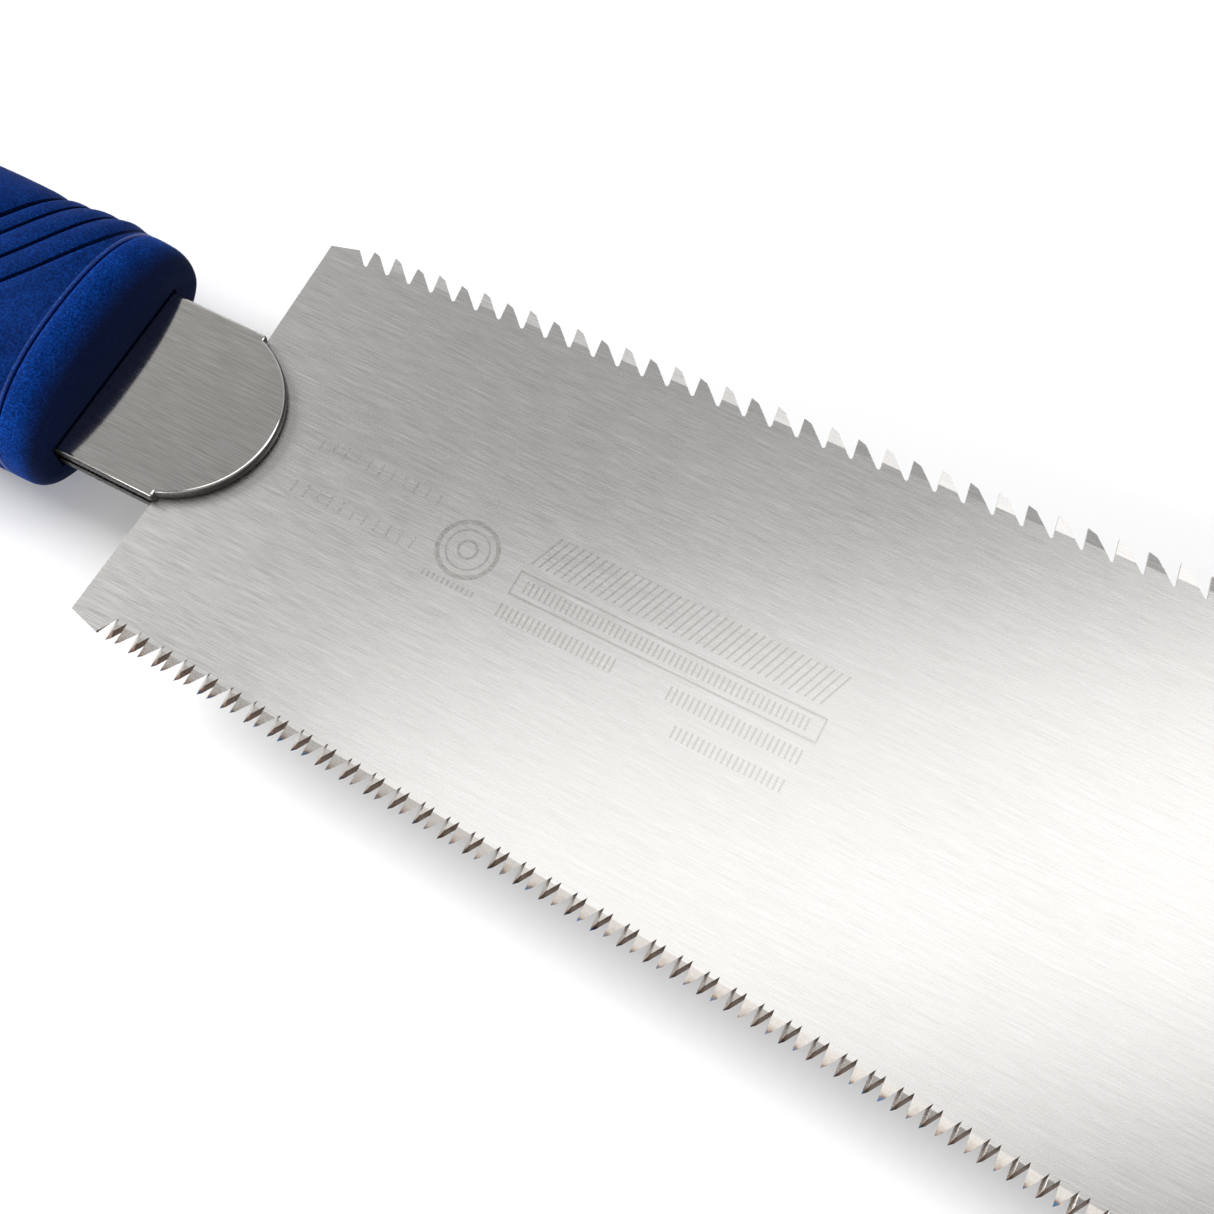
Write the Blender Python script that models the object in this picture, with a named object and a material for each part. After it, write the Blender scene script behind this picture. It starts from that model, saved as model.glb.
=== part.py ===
"""Double-edged pull saw with a replaceable blade.

The saw lies flat: +X runs from the handle to the toe of the blade, +Y towards the rip edge, +Z up.
The origin is the bottom centre of the bounding box. Every piece is drawn about one datum, the point
where the blade's heel edge crosses the handle's axis, so "aft" is a distance from the heel towards
the butt of the handle. All lengths are metres.
"""

from math import atan2, copysign, cos, pi, radians, sin, tan

import bmesh
import bpy
from mathutils import Vector

# ---- Driving dimensions -------------------------------------------------------------------------

GAP = 0.0003                     # clearance left between pieces that touch

# Blade
BLADE_LENGTH = 0.180             # heel edge to the corners of the toe
TOE_BULGE = 0.003                # how far the toe's arc stands past its corners
BLADE_THICKNESS = 0.0005
RIP_HALF_WIDTH = 0.02475         # axis to the bottoms of the rip gullets, at the heel
CROSS_HALF_WIDTH = 0.02515       # the same on the crosscut side
FLARE = radians(3.1)             # how much each toothed edge opens towards the toe
TEETH_END = 0.1750               # distance from the heel where the last teeth start
HEEL_SWEEP = 0.0005              # the heel's corners lie this much aft of its middle
RIP_HEEL_RISE = 0.0010           # plain corner of the heel, over the gullet line
RIP_PLAIN_RISE = 0.0020          # end of the heel's plain edge, over the gullet line
RIP_PLAIN_STEP = 0.0020          # from there to the first gullet
CROSS_HEEL_RISE = 0.0016         # the same on the crosscut side
CROSS_PLAIN_RISE = 0.0026
CROSS_PLAIN_STEP = 0.0012
TOE_STEP = 0.0012                # from the last gullet to the toe's plain edge
TOE_RISE = 0.0024                # toe's plain edge, over the gullet line
TOE_CORNER_RADIUS = 0.0015

# Rip teeth, on the +Y edge: the pitch grows from tooth to tooth
RIP_START = 0.0048
RIP_FIRST_PITCH = 0.00284
RIP_PITCH_GROWTH = 0.000021
RIP_DEPTH = 0.86                 # of the pitch
RIP_LEAN = 0.15                  # how far the tip leans to the handle, of the pitch
RIP_TOP_LENGTH = 0.31            # slanted top of the tooth, of the pitch
RIP_TOP_DROP = 0.11              # what the slanted top loses, of the depth
RIP_GULLET_RADIUS = 0.00022
RIP_GULLET_SINK = 0.00038        # the flanks would meet this far below the rounded bottom
RIP_BEND = 0.38                  # height of the bend that sets the tooth, of the depth
RIP_SET = 0.00020                # how far the tip is set out of the blade's plane

# Crosscut teeth, on the -Y edge: an even pitch, filed at an angle from each side in turn
CROSS_START = 0.0045
CROSS_PITCH = 0.0015
CROSS_DEPTH = 0.0026
CROSS_FILE_ANGLE = radians(41)
CROSS_FRONT_LEAN = 0.06          # run of the front flank along the edge per unit of height
CROSS_BACK_LEAN = 0.61           # the same for the back flank
CROSS_TOP = 0.83                 # height where the third bevel leaves the back flank, of the tip's
CROSS_INNER_TIP = 0.96           # on the inner face, of the height where the flanks meet
CROSS_INNER_SHOULDER = 0.88
CROSS_BEND = 0.00055
CROSS_SET = 0.00017

# Tang, the tongue of the blade that slides into the handle
TANG_LENGTH = 0.052
TANG_HALF_WIDTH = 0.0074
TANG_FILLET = 0.0018
TANG_CHAMFER = 0.0020
SLOT_HALF_WIDTH = 0.0027         # open slot that straddles the stop pin
SLOT_MOUTH = 0.0009              # flare of the slot's mouth

# Jaw: two steel plates with rails between them
JAW_HALF_WIDTH = 0.0117
JAW_OFFSET = -0.0006             # its front lies a little towards the crosscut edge
JAW_STEP_AFT = 0.0205            # behind this the plates are narrower and centred
JAW_REAR_HALF_WIDTH = JAW_HALF_WIDTH + JAW_OFFSET
PLATE_THICKNESS = 0.0011
PLATE_EDGE = 0.0003              # rolled edge of the plates
JAW_REAR = 0.062
JAW_SHOULDER = 0.0003            # the plates keep their full width this far past the heel
TONGUE_RADIUS = 0.0117           # round tongue that lies on the blade
TONGUE_CENTRE = -0.0037
RAIL_INNER = 0.0078
RAIL_OUTER = 0.0106
RAIL_FRONT = 0.0026
RAIL_REAR = 0.0600
STOP_PIN_AFT = 0.0424
STOP_PIN_RADIUS = 0.0022
RIVET_AFT = {"front": 0.024, "rear": 0.050}
RIVET_SIDE = 0.0092
RIVET_RADIUS = 0.0009
ANCHOR_AFT = 0.057
ANCHOR_SIDE = 0.0055
ANCHOR_RADIUS = 0.0015
ANCHOR_HALF_LENGTH = 0.0055
HEAD_HEIGHT = 0.0008
HEAD_OVERHANG = 0.0007
SPRING_THICKNESS = 0.00035
SPRING_HALF_WIDTH = 0.0040
SPRING_FRONT = 0.0185
SPRING_REAR = 0.0605
SPRING_RIVET_AFT = 0.0565
CROWN_AFT = 0.0270               # crown of the spring, where it presses on the tang
CROWN_HALF_LENGTH = 0.0080
CROWN_STEPS = 12
WINDOW_FRONT = 0.0170            # opening in the lower plate for the crown
WINDOW_REAR = 0.0370
WINDOW_HALF_WIDTH = 0.0045

# Handle
BUTT = 0.210
COLLAR_FRONT = 0.0125
SEAM = 0.0172                    # joint between the collar and the grip
GRIP_END = 0.186                 # joint between the grip and the butt cap
REST_HEIGHT = 0.0105             # blade's middle plane over the flat underside
SECTION_POWER = 2.3              # squareness of the handle's oval section
RING_POINTS = 24
GRIP_WALL = 0.0022
HALF_WIDTHS = ((SEAM, 0.0160), (0.060, 0.0146), (0.110, 0.0156), (0.160, 0.0172), (0.210, 0.0176))
HALF_HEIGHTS = ((SEAM, 0.0104), (0.045, 0.0110), (0.120, 0.0112), (0.210, 0.0112))
ROUND_STEPS = 6                  # rings in a rounded end

COLLAR_TOP_LENGTH = 0.0044       # the collar's front drops over this length, above and below
COLLAR_TOP_DROP = 0.0060
COLLAR_SIDE_LENGTH = 0.0025      # and draws in over this one at the sides
COLLAR_SIDE_DROP = 0.0016

GROOVE_SLANT = 0.72              # run of a groove along the handle per unit of width, on the axis
GROOVE_CURVE = 22                # how fast the grooves square up towards the sides, per metre
GROOVE_PITCH = 0.0037
THIN_GROOVES = 3                 # in each band, ahead of its deep valley
VALLEY_LEAD = 0.0028             # from the last thin groove to the valley
BAND_PITCH = 0.0216
BANDS = 7
BAND_SWELL = 0.00045             # how far a band swells between two valleys
FIRST_VALLEY = 0.0343            # on the axis
GROOVE_HALF_WIDTH = 0.0007
GROOVE_DEPTH = 0.0008
VALLEY_HALF_WIDTH = 0.0010
VALLEY_DEPTH = 0.0011
GROOVE_FADE = 0.0020             # grooves run out over this distance from the collar
RING_CROWDING = 0.00012          # rings that would pass the collar are stacked this close

NOSE_FRONT = 0.0144              # core's nose, inside the collar
NOSE_END = 0.0174
NOSE_HALF_WIDTH = 0.0133
NOSE_HALF_HEIGHT = 0.0036
NOSE_POWER = 6
CORE_START = 0.0178              # from here the core fills the grip
CORE_STATIONS = (0.034, 0.048, 0.070, 0.100, 0.130, 0.160)
TENON_END = 0.1935               # core's tail, inside the butt cap
TENON_HALF_WIDTH = 0.0110
TENON_HALF_HEIGHT = 0.0062

SCREW_HEAD_HEIGHT = 0.0018
SCREW_HEAD_CROWN = 0.72          # the head's flat top, of its radius
SCREW_POINT = 0.3                # the blunt tip, of the stem's radius
RECESS_REACH = 0.55              # arm of the cross recess, of the head's radius
RECESS_HALF_WIDTH = 0.14
CORE_SCREW_AFT = {"front": 0.082, "middle": 0.124, "rear": 0.166}
CORE_SCREW_RADIUS = 0.0014
CORE_SCREW_HEAD = 0.0027
CORE_SCREW_SEAT = 0.0030         # over the middle plane
CORE_SCREW_TIP = -0.0053
CAP_SCREW_AFT = 0.1897
CAP_SCREW_RADIUS = 0.0013
CAP_SCREW_HEAD = 0.0024
CAP_SCREW_SEAT = -0.0080
CAP_SCREW_TIP = -0.0006

CAP_MIDDLE = 0.194
BUTT_ROUND_START = 0.2035
BUTT_FLAT_HALF_WIDTH = 0.0105    # flat end of the butt
BUTT_FLAT_HALF_HEIGHT = 0.0062
HANG_HOLE_AFT = 0.2006
HANG_HOLE_RADIUS = 0.0034

# Worked out from the above
HEEL_X = (BUTT - BLADE_LENGTH - TOE_BULGE) / 2
DATUM = Vector((HEEL_X, 0, REST_HEIGHT))
BLADE_FACE = BLADE_THICKNESS / 2
PLATE_INNER = BLADE_FACE + GAP
PLATE_OUTER = PLATE_INNER + PLATE_THICKNESS
SHARP = radians(35)


# ---- Materials ----------------------------------------------------------------------------------

def material(name, colour, roughness, metallic):
    """A Principled material for one piece."""
    made = bpy.data.materials.new(name)
    made.use_nodes = True
    shader = made.node_tree.nodes["Principled BSDF"]
    shader.inputs["Base Color"].default_value = (*colour, 1)
    shader.inputs["Roughness"].default_value = roughness
    shader.inputs["Metallic"].default_value = metallic
    made.diffuse_color = (*colour, 1)
    return made


def blade_steel(name):
    return material(name, (0.62, 0.61, 0.60), 0.33, 1)


def jaw_steel(name):
    return material(name, (0.52, 0.51, 0.48), 0.36, 1)


def spring_steel(name):
    return material(name, (0.42, 0.43, 0.45), 0.30, 1)


def fastener_steel(name):
    return material(name, (0.55, 0.55, 0.56), 0.28, 1)


def blue_rubber(name):
    return material(name, (0.010, 0.035, 0.17), 0.55, 0)


def core_plastic(name):
    return material(name, (0.04, 0.045, 0.06), 0.50, 0)


# ---- Shape helpers ------------------------------------------------------------------------------

def link(name, shape):
    """Turns a bmesh into an object at the datum, with its faces pointing out."""
    bmesh.ops.recalc_face_normals(shape, faces=shape.faces)
    mesh = bpy.data.meshes.new(name)
    shape.to_mesh(mesh)
    shape.free()
    made = bpy.data.objects.new(name, mesh)
    made.location = DATUM
    bpy.context.scene.collection.objects.link(made)
    return made


def piece(name, shape, make_material):
    """A sub-part: its round faces are smooth and its edges stay crisp."""
    made = link(name, shape)
    made.data.shade_smooth()
    made.data.set_sharp_from_angle(angle=SHARP)
    made.data.materials.append(make_material(name))
    return made


def cut(target, name, shape):
    """Takes a hidden shape away from a piece."""
    tool = link(name, shape)
    tool.hide_render = True
    tool.display_type = "WIRE"
    boolean = target.modifiers.new(name, "BOOLEAN")
    boolean.operation = "DIFFERENCE"
    boolean.solver = "EXACT"
    boolean.object = tool


def prism(outline, low, high):
    """A flat outline raised from one height to another."""
    shape = bmesh.new()
    base = shape.faces.new([shape.verts.new((x, y, low)) for x, y in outline])
    raised = bmesh.ops.extrude_face_region(shape, geom=[base])["geom"]
    corners = [item for item in raised if isinstance(item, bmesh.types.BMVert)]
    bmesh.ops.translate(shape, vec=(0, 0, high - low), verts=corners)
    return shape


def block(front, rear, half_width, low, high, middle=0.0):
    """A box between two distances aft of the heel."""
    left, right = middle - half_width, middle + half_width
    corners = ((-rear, left), (-front, left), (-front, right), (-rear, right))
    return prism(corners, low, high)


def arc(centre_x, centre_y, radius, start, end, steps):
    """Points along an arc, both ends included."""
    angles = [start + (end - start) * step / steps for step in range(steps + 1)]
    return [(centre_x + radius * cos(angle), centre_y + radius * sin(angle)) for angle in angles]


def circle(aft, side, radius, points=14):
    return arc(-aft, side, radius, 0, 2 * pi, points)[:-1]


def rounded(before, corner, after, radius, steps):
    """The arc that rounds the corner between two straight edges."""
    to_before = (before - corner).normalized()
    to_after = (after - corner).normalized()
    half = to_before.angle(to_after) / 2
    centre = corner + (to_before + to_after).normalized() * radius / sin(half)
    first = corner + to_before * radius / tan(half) - centre
    last = corner + to_after * radius / tan(half) - centre
    start = atan2(first.y, first.x)
    sweep = (atan2(last.y, last.x) - start + pi) % (2 * pi) - pi
    return arc(centre.x, centre.y, radius, start, start + sweep, steps)


def loft(rings, closed=False):
    """Skins a row of rings: capped at both ends, or joined back to the first ring."""
    shape = bmesh.new()
    corners = [[shape.verts.new(point) for point in ring] for ring in rings]
    following = corners[1:] + corners[:1] if closed else corners[1:]
    for ring, after in zip(corners, following):
        for step, corner in enumerate(ring):
            beside = (step + 1) % len(ring)
            shape.faces.new((corner, ring[beside], after[beside], after[step]))
    if not closed:
        shape.faces.new(corners[0])
        shape.faces.new(corners[-1])
    return shape


def turned(profile, aft, side=0.0, points=12):
    """A solid turned about a vertical axis from (radius, height) pairs, flat at both ends."""
    rings = [[(x, y, height) for x, y in circle(aft, side, radius, points)] for radius, height in profile]
    return loft(rings)


def smooth_value(stations, distance):
    """A smooth curve through (distance, value) stations."""
    inner = stations[1:-1]
    slopes = [0.0]
    for before, after in zip(stations, stations[2:]):
        slopes.append((after[1] - before[1]) / (after[0] - before[0]))
    slopes.append(0.0)
    held = min(max(distance, stations[0][0]), stations[-1][0])
    index = sum(held > station[0] for station in inner)
    (start, low), (end, high) = stations[index:index + 2]
    span = end - start
    share = (held - start) / span
    rise = share * share * (3 - 2 * share)
    leaving = share * (1 - share) ** 2 * slopes[index]
    arriving = share * share * (share - 1) * slopes[index + 1]
    return low + (high - low) * rise + (leaving + arriving) * span


# ---- Blade --------------------------------------------------------------------------------------

class Rim:
    """A stretch of the blade's outline, as points on the upper face over points on the lower one.

    Some of the points bound the blade's flat middle. The others belong to teeth: a tooth is a root in
    the blade's plane and a tip that is bent out of it, each a run of four points.
    """

    def __init__(self):
        self.upper = []
        self.lower = []
        self.middle = []
        self.teeth = []

    def add_plain(self, x, y, shift=0.0):
        """A point of the flat middle; a slanting file moves its two ends apart along the edge."""
        self.middle.append(len(self.upper))
        self.upper.append((x + shift, y, BLADE_FACE))
        self.lower.append((x - shift, y, -BLADE_FACE))

    def add_tip(self, upper, lower):
        """The four corners of a tooth's tip on each face, between the last point and the next."""
        first = len(self.upper)
        self.upper.extend(upper)
        self.lower.extend(lower)
        self.teeth.append((first - 1, first, first + 3, first + 4))
        self.teeth.append((first, first + 1, first + 2, first + 3))

    def join(self, other, backwards=False):
        start = len(self.upper)
        last = start + len(other.upper) - 1
        step = -1 if backwards else 1
        moved = (lambda index: last - index) if backwards else (lambda index: start + index)
        self.upper.extend(other.upper[::step])
        self.lower.extend(other.lower[::step])
        self.middle.extend(moved(index) for index in other.middle[::step])
        self.teeth.extend([moved(index) for index in run] for run in other.teeth)

    def solid(self):
        shape = bmesh.new()
        upper = [shape.verts.new(point) for point in self.upper]
        lower = [shape.verts.new(point) for point in self.lower]
        for layer in (upper, lower):
            for run in [self.middle, *self.teeth]:
                shape.faces.new([layer[index] for index in run])
        for index, corner in enumerate(upper):
            beside = (index + 1) % len(upper)
            shape.faces.new((corner, upper[beside], lower[beside], lower[index]))
        return shape


def rip_edge(x):
    return RIP_HALF_WIDTH + x * tan(FLARE)


def cross_edge(x):
    return -CROSS_HALF_WIDTH - x * tan(FLARE)


def at_height(start, end, height):
    """The point of a straight flank that reaches a height across the blade."""
    return start + (end - start) * (height - start.y) / (end.y - start.y)


def rip_teeth():
    """Gullet corner, tip and shoulder of each rip tooth from heel to toe, and the corner after them."""
    teeth = []
    position = RIP_START
    pitch = RIP_FIRST_PITCH
    while position < TEETH_END:
        depth = RIP_DEPTH * pitch
        gullet = Vector((position, rip_edge(position) - RIP_GULLET_SINK))
        tip = Vector((position - RIP_LEAN * pitch, rip_edge(position) + depth))
        shoulder = tip + Vector((RIP_TOP_LENGTH * pitch, -RIP_TOP_DROP * depth))
        teeth.append((gullet, tip, shoulder))
        position += pitch
        pitch += RIP_PITCH_GROWTH
    return teeth, Vector((position, rip_edge(position) - RIP_GULLET_SINK))


def rip_rim():
    """The rip edge from heel to toe: rounded gullets, and teeth set to each side in turn."""
    rim = Rim()
    teeth, last_gullet = rip_teeth()
    before = Vector((RIP_START - RIP_PLAIN_STEP, rip_edge(0) + RIP_PLAIN_RISE))
    rim.add_plain(-HEEL_SWEEP, rip_edge(0) + RIP_HEEL_RISE)
    rim.add_plain(*before)
    gullets = [tooth[0] for tooth in teeth] + [last_gullet]
    for number, (gullet, tip, shoulder) in enumerate(teeth):
        for x, y in rounded(before, gullet, tip, RIP_GULLET_RADIUS, 2):
            rim.add_plain(x, y)
        root = rip_edge(gullet.x)
        bend = root + RIP_BEND * (tip.y - root)
        front = at_height(gullet, tip, bend)
        back = at_height(shoulder, gullets[number + 1], bend)
        corners = (front, tip, shoulder, back)
        side = 1 if number % 2 else -1
        lifts = [side * RIP_SET * (corner.y - bend) / (tip.y - bend) for corner in corners]
        upper = [(*corner, lift + BLADE_FACE) for corner, lift in zip(corners, lifts)]
        lower = [(*corner, lift - BLADE_FACE) for corner, lift in zip(corners, lifts)]
        rim.add_tip(upper, lower)
        before = shoulder
    plain = Vector((last_gullet.x + TOE_STEP, rip_edge(last_gullet.x) + TOE_RISE))
    for x, y in rounded(before, last_gullet, plain, RIP_GULLET_RADIUS, 2):
        rim.add_plain(x, y)
    rim.add_plain(*plain)
    return rim


def cross_face(front, back, outer, side):
    """One face of a crosscut tooth between two gullets: bend, tip, shoulder, bend.

    The outer face carries the full tip, cut back by the third bevel. On the inner face the slanting
    flanks meet lower down.
    """
    meeting = (back - front) / (CROSS_FRONT_LEAN + CROSS_BACK_LEAN)
    tip = CROSS_DEPTH if outer else CROSS_INNER_TIP * meeting
    shoulder = CROSS_TOP * CROSS_DEPTH if outer else CROSS_INNER_SHOULDER * meeting
    heights = (CROSS_BEND, tip, shoulder, CROSS_BEND)
    places = [front + CROSS_FRONT_LEAN * height for height in heights[:2]]
    places += [back - CROSS_BACK_LEAN * height for height in heights[2:]]
    lifts = [side * CROSS_SET * (height - CROSS_BEND) / (CROSS_DEPTH - CROSS_BEND) for height in heights]
    return [(x, cross_edge(x) - height, lift) for x, height, lift in zip(places, heights, lifts)]


def cross_rim():
    """The crosscut edge from heel to toe: knife-like teeth, bevelled and set to each side in turn."""
    rim = Rim()
    spread = BLADE_FACE * tan(CROSS_FILE_ANGLE)
    rim.add_plain(-HEEL_SWEEP, cross_edge(0) - CROSS_HEEL_RISE)
    rim.add_plain(CROSS_START - CROSS_PLAIN_STEP, cross_edge(0) - CROSS_PLAIN_RISE)
    count = int((TEETH_END - CROSS_START) / CROSS_PITCH)
    for number in range(count):
        side = 1 if number % 2 else -1
        front = CROSS_START + number * CROSS_PITCH
        back = front + CROSS_PITCH
        shift = -side * spread
        rim.add_plain(front, cross_edge(front), shift)
        upper = cross_face(front + shift, back - shift, side > 0, side)
        lower = cross_face(front - shift, back + shift, side < 0, side)
        rim.add_tip(
            [(x, y, lift + BLADE_FACE) for x, y, lift in upper],
            [(x, y, lift - BLADE_FACE) for x, y, lift in lower],
        )
    rim.add_plain(back, cross_edge(back), -shift)
    rim.add_plain(back + TOE_STEP, cross_edge(back) - TOE_RISE)
    return rim


def toe_rim():
    """The toe from the crosscut edge to the rip edge: rounded corners and a shallow arc."""
    rim = Rim()
    low = Vector((BLADE_LENGTH, cross_edge(BLADE_LENGTH) - TOE_RISE))
    high = Vector((BLADE_LENGTH, rip_edge(BLADE_LENGTH) + TOE_RISE))
    half_chord = (high - low).length / 2
    radius = (half_chord ** 2 + TOE_BULGE ** 2) / (2 * TOE_BULGE)
    centre = Vector((BLADE_LENGTH + TOE_BULGE - radius, (low.y + high.y) / 2))
    reach = atan2(half_chord, radius - TOE_BULGE)
    sweep = [Vector(point) for point in arc(centre.x, centre.y, radius, -reach, reach, 14)]
    edge = Vector((-1, 0))
    for x, y in rounded(low + edge, low, sweep[1], TOE_CORNER_RADIUS, 4):
        rim.add_plain(x, y)
    for x, y in sweep[1:-1]:
        rim.add_plain(x, y)
    for x, y in rounded(sweep[-2], high, high + edge, TOE_CORNER_RADIUS, 4):
        rim.add_plain(x, y)
    return rim


def tang_rim():
    """The tang from the rip side of the heel to the crosscut side, with its open slot."""
    upper_half = arc(-TANG_FILLET, TANG_HALF_WIDTH + TANG_FILLET, TANG_FILLET, 0, -pi / 2, 4)
    upper_half += [
        (-TANG_LENGTH + TANG_CHAMFER, TANG_HALF_WIDTH),
        (-TANG_LENGTH, TANG_HALF_WIDTH - TANG_CHAMFER),
        (-TANG_LENGTH, SLOT_HALF_WIDTH + SLOT_MOUTH),
        (-TANG_LENGTH + 2 * SLOT_MOUTH, SLOT_HALF_WIDTH),
    ]
    slot_end = arc(-STOP_PIN_AFT, 0, SLOT_HALF_WIDTH, pi / 2, -pi / 2, 10)
    rim = Rim()
    for x, y in upper_half + slot_end + [(x, -y) for x, y in reversed(upper_half)]:
        rim.add_plain(x, y)
    return rim


def build_blade():
    rim = cross_rim()
    rim.join(toe_rim())
    rim.join(rip_rim(), backwards=True)
    rim.join(tang_rim())
    piece("saw_blade", rim.solid(), blade_steel)


# ---- Jaw ----------------------------------------------------------------------------------------

def plate_outline():
    """Square at the back, a step out to full width, then a round tongue past the heel."""
    reach = JAW_SHOULDER - TONGUE_CENTRE
    shoulder = atan2((TONGUE_RADIUS ** 2 - reach ** 2) ** 0.5, reach)
    tongue = arc(TONGUE_CENTRE, JAW_OFFSET, TONGUE_RADIUS, -shoulder, shoulder, 20)
    crosscut_side = JAW_OFFSET - JAW_HALF_WIDTH
    return [
        (-JAW_REAR, -JAW_REAR_HALF_WIDTH),
        (-JAW_STEP_AFT, -JAW_REAR_HALF_WIDTH),
        (-JAW_STEP_AFT, crosscut_side),
        (JAW_SHOULDER, crosscut_side),
        *tongue,
        (JAW_SHOULDER, JAW_REAR_HALF_WIDTH),
        (-JAW_REAR, JAW_REAR_HALF_WIDTH),
    ]


def build_plate(name, low, high):
    plate = piece(name, prism(plate_outline(), low, high), jaw_steel)
    edge = plate.modifiers.new("rolled_edge", "BEVEL")
    edge.width = PLATE_EDGE
    edge.segments = 2
    edge.limit_method = "ANGLE"
    edge.angle_limit = radians(60)
    middle = (low + high) / 2
    below, above = middle - PLATE_THICKNESS, middle + PLATE_THICKNESS
    holes = [("stop", STOP_PIN_AFT, 0, STOP_PIN_RADIUS), ("spring", SPRING_RIVET_AFT, 0, RIVET_RADIUS)]
    holes += [(f"rivet_{end}_{side}", aft, side * RIVET_SIDE, RIVET_RADIUS)
              for end, aft in RIVET_AFT.items() for side in (1, -1)]
    holes += [(f"anchor_{side}", ANCHOR_AFT, side * ANCHOR_SIDE, ANCHOR_RADIUS) for side in (1, -1)]
    for what, aft, side, radius in holes:
        cut(plate, f"{name}_{what}_hole", prism(circle(aft, side, radius + GAP), below, above))
    return plate


def build_jaw_plates():
    build_plate("jaw_plate_upper", PLATE_INNER, PLATE_OUTER)
    lower = build_plate("jaw_plate_lower", -PLATE_OUTER, -PLATE_INNER)
    window = block(WINDOW_FRONT, WINDOW_REAR, WINDOW_HALF_WIDTH, -2 * PLATE_OUTER, 0)
    cut(lower, "spring_window", window)


def build_rails():
    """Strips between the plates that keep the tang on the axis."""
    for name, side in (("left", 1), ("right", -1)):
        corners = [
            (-RAIL_REAR, side * RAIL_INNER),
            (-RAIL_FRONT, side * RAIL_INNER),
            (-RAIL_FRONT, side * RAIL_OUTER),
            (-RAIL_REAR, side * RAIL_OUTER),
        ]
        rail = piece(f"jaw_rail_{name}", prism(corners, -BLADE_FACE, BLADE_FACE), jaw_steel)
        for end, aft in RIVET_AFT.items():
            rim = circle(aft, side * RIVET_SIDE, RIVET_RADIUS + GAP)
            cut(rail, f"rail_{name}_{end}_hole", prism(rim, -BLADE_THICKNESS, BLADE_THICKNESS))


def rivet_profile(radius, under_top, under_bottom):
    """Stem with a domed head at each end; the heads sit on what they clamp."""
    head = radius + HEAD_OVERHANG
    return [
        (radius, under_bottom - HEAD_HEIGHT),
        (head, under_bottom - HEAD_HEIGHT / 2),
        (head, under_bottom),
        (radius, under_bottom),
        (radius, under_top),
        (head, under_top),
        (head, under_top + HEAD_HEIGHT / 2),
        (radius, under_top + HEAD_HEIGHT),
    ]


def build_rivets():
    top = PLATE_OUTER + GAP
    for end, aft in RIVET_AFT.items():
        for name, side in (("left", 1), ("right", -1)):
            shape = turned(rivet_profile(RIVET_RADIUS, top, -top), aft, side * RIVET_SIDE)
            piece(f"jaw_rivet_{end}_{name}", shape, fastener_steel)
    under_spring = -top - SPRING_THICKNESS - GAP
    spring_rivet = turned(rivet_profile(RIVET_RADIUS, top, under_spring), SPRING_RIVET_AFT)
    piece("spring_rivet", spring_rivet, fastener_steel)
    stop_pin = turned(rivet_profile(STOP_PIN_RADIUS, top, under_spring), STOP_PIN_AFT, points=16)
    piece("blade_stop_pin", stop_pin, fastener_steel)


def build_spring():
    """A leaf under the lower plate whose crown rises through the window to the tang."""
    low = -PLATE_OUTER - GAP - SPRING_THICKNESS / 2
    rise = -BLADE_FACE - GAP - SPRING_THICKNESS / 2 - low
    line = [(-SPRING_REAR, low), (-(CROWN_AFT + CROWN_HALF_LENGTH), low)]
    for step in range(1, CROWN_STEPS + 1):
        share = step / CROWN_STEPS
        x = -CROWN_AFT - CROWN_HALF_LENGTH * cos(pi * share)
        line.append((x, low + rise * sin(pi * share) ** 2))
    line[-1] = (-SPRING_FRONT, low)
    half = SPRING_THICKNESS / 2
    profile = [(x, z - half) for x, z in line] + [(x, z + half) for x, z in reversed(line)]
    rings = [[(x, side * SPRING_HALF_WIDTH, z) for x, z in profile] for side in (-1, 1)]
    spring = piece("tang_spring", loft(rings), spring_steel)
    holes = (("stop", STOP_PIN_AFT, STOP_PIN_RADIUS), ("rivet", SPRING_RIVET_AFT, RIVET_RADIUS))
    for name, aft, radius in holes:
        hole = prism(circle(aft, 0, radius + GAP), low - SPRING_THICKNESS, low + SPRING_THICKNESS)
        cut(spring, f"spring_{name}_hole", hole)


def build_anchor_pins():
    """Pins that run through both plates into the core, so the jaw can't pull out."""
    chamfer = ANCHOR_RADIUS / 4
    profile = [
        (ANCHOR_RADIUS - chamfer, -ANCHOR_HALF_LENGTH),
        (ANCHOR_RADIUS, -ANCHOR_HALF_LENGTH + chamfer),
        (ANCHOR_RADIUS, ANCHOR_HALF_LENGTH - chamfer),
        (ANCHOR_RADIUS - chamfer, ANCHOR_HALF_LENGTH),
    ]
    for name, side in (("left", 1), ("right", -1)):
        shape = turned(profile, ANCHOR_AFT, side * ANCHOR_SIDE)
        piece(f"jaw_anchor_pin_{name}", shape, fastener_steel)


# ---- Handle -------------------------------------------------------------------------------------

def oval(angle, half_width, half_height, power=SECTION_POWER, flat=REST_HEIGHT):
    """A point of the handle's section, between an ellipse and a rectangle, flat underneath."""
    across, up = cos(angle), sin(angle)
    y = half_width * copysign(abs(across) ** (2 / power), across)
    z = half_height * copysign(abs(up) ** (2 / power), up)
    return y, max(z, -flat)


def ring(aft, half_width, half_height, power=SECTION_POWER, flat=REST_HEIGHT):
    turn = [2 * pi * step / RING_POINTS for step in range(RING_POINTS)]
    return [(-aft, *oval(angle, half_width, half_height, power, flat)) for angle in turn]


def handle_ring(aft, inset=0.0):
    """The handle's section at a distance from the heel, drawn in by an inset."""
    half_width = smooth_value(HALF_WIDTHS, aft) - inset
    half_height = smooth_value(HALF_HEIGHTS, aft) - inset
    return ring(aft, half_width, half_height, flat=REST_HEIGHT - inset)


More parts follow.
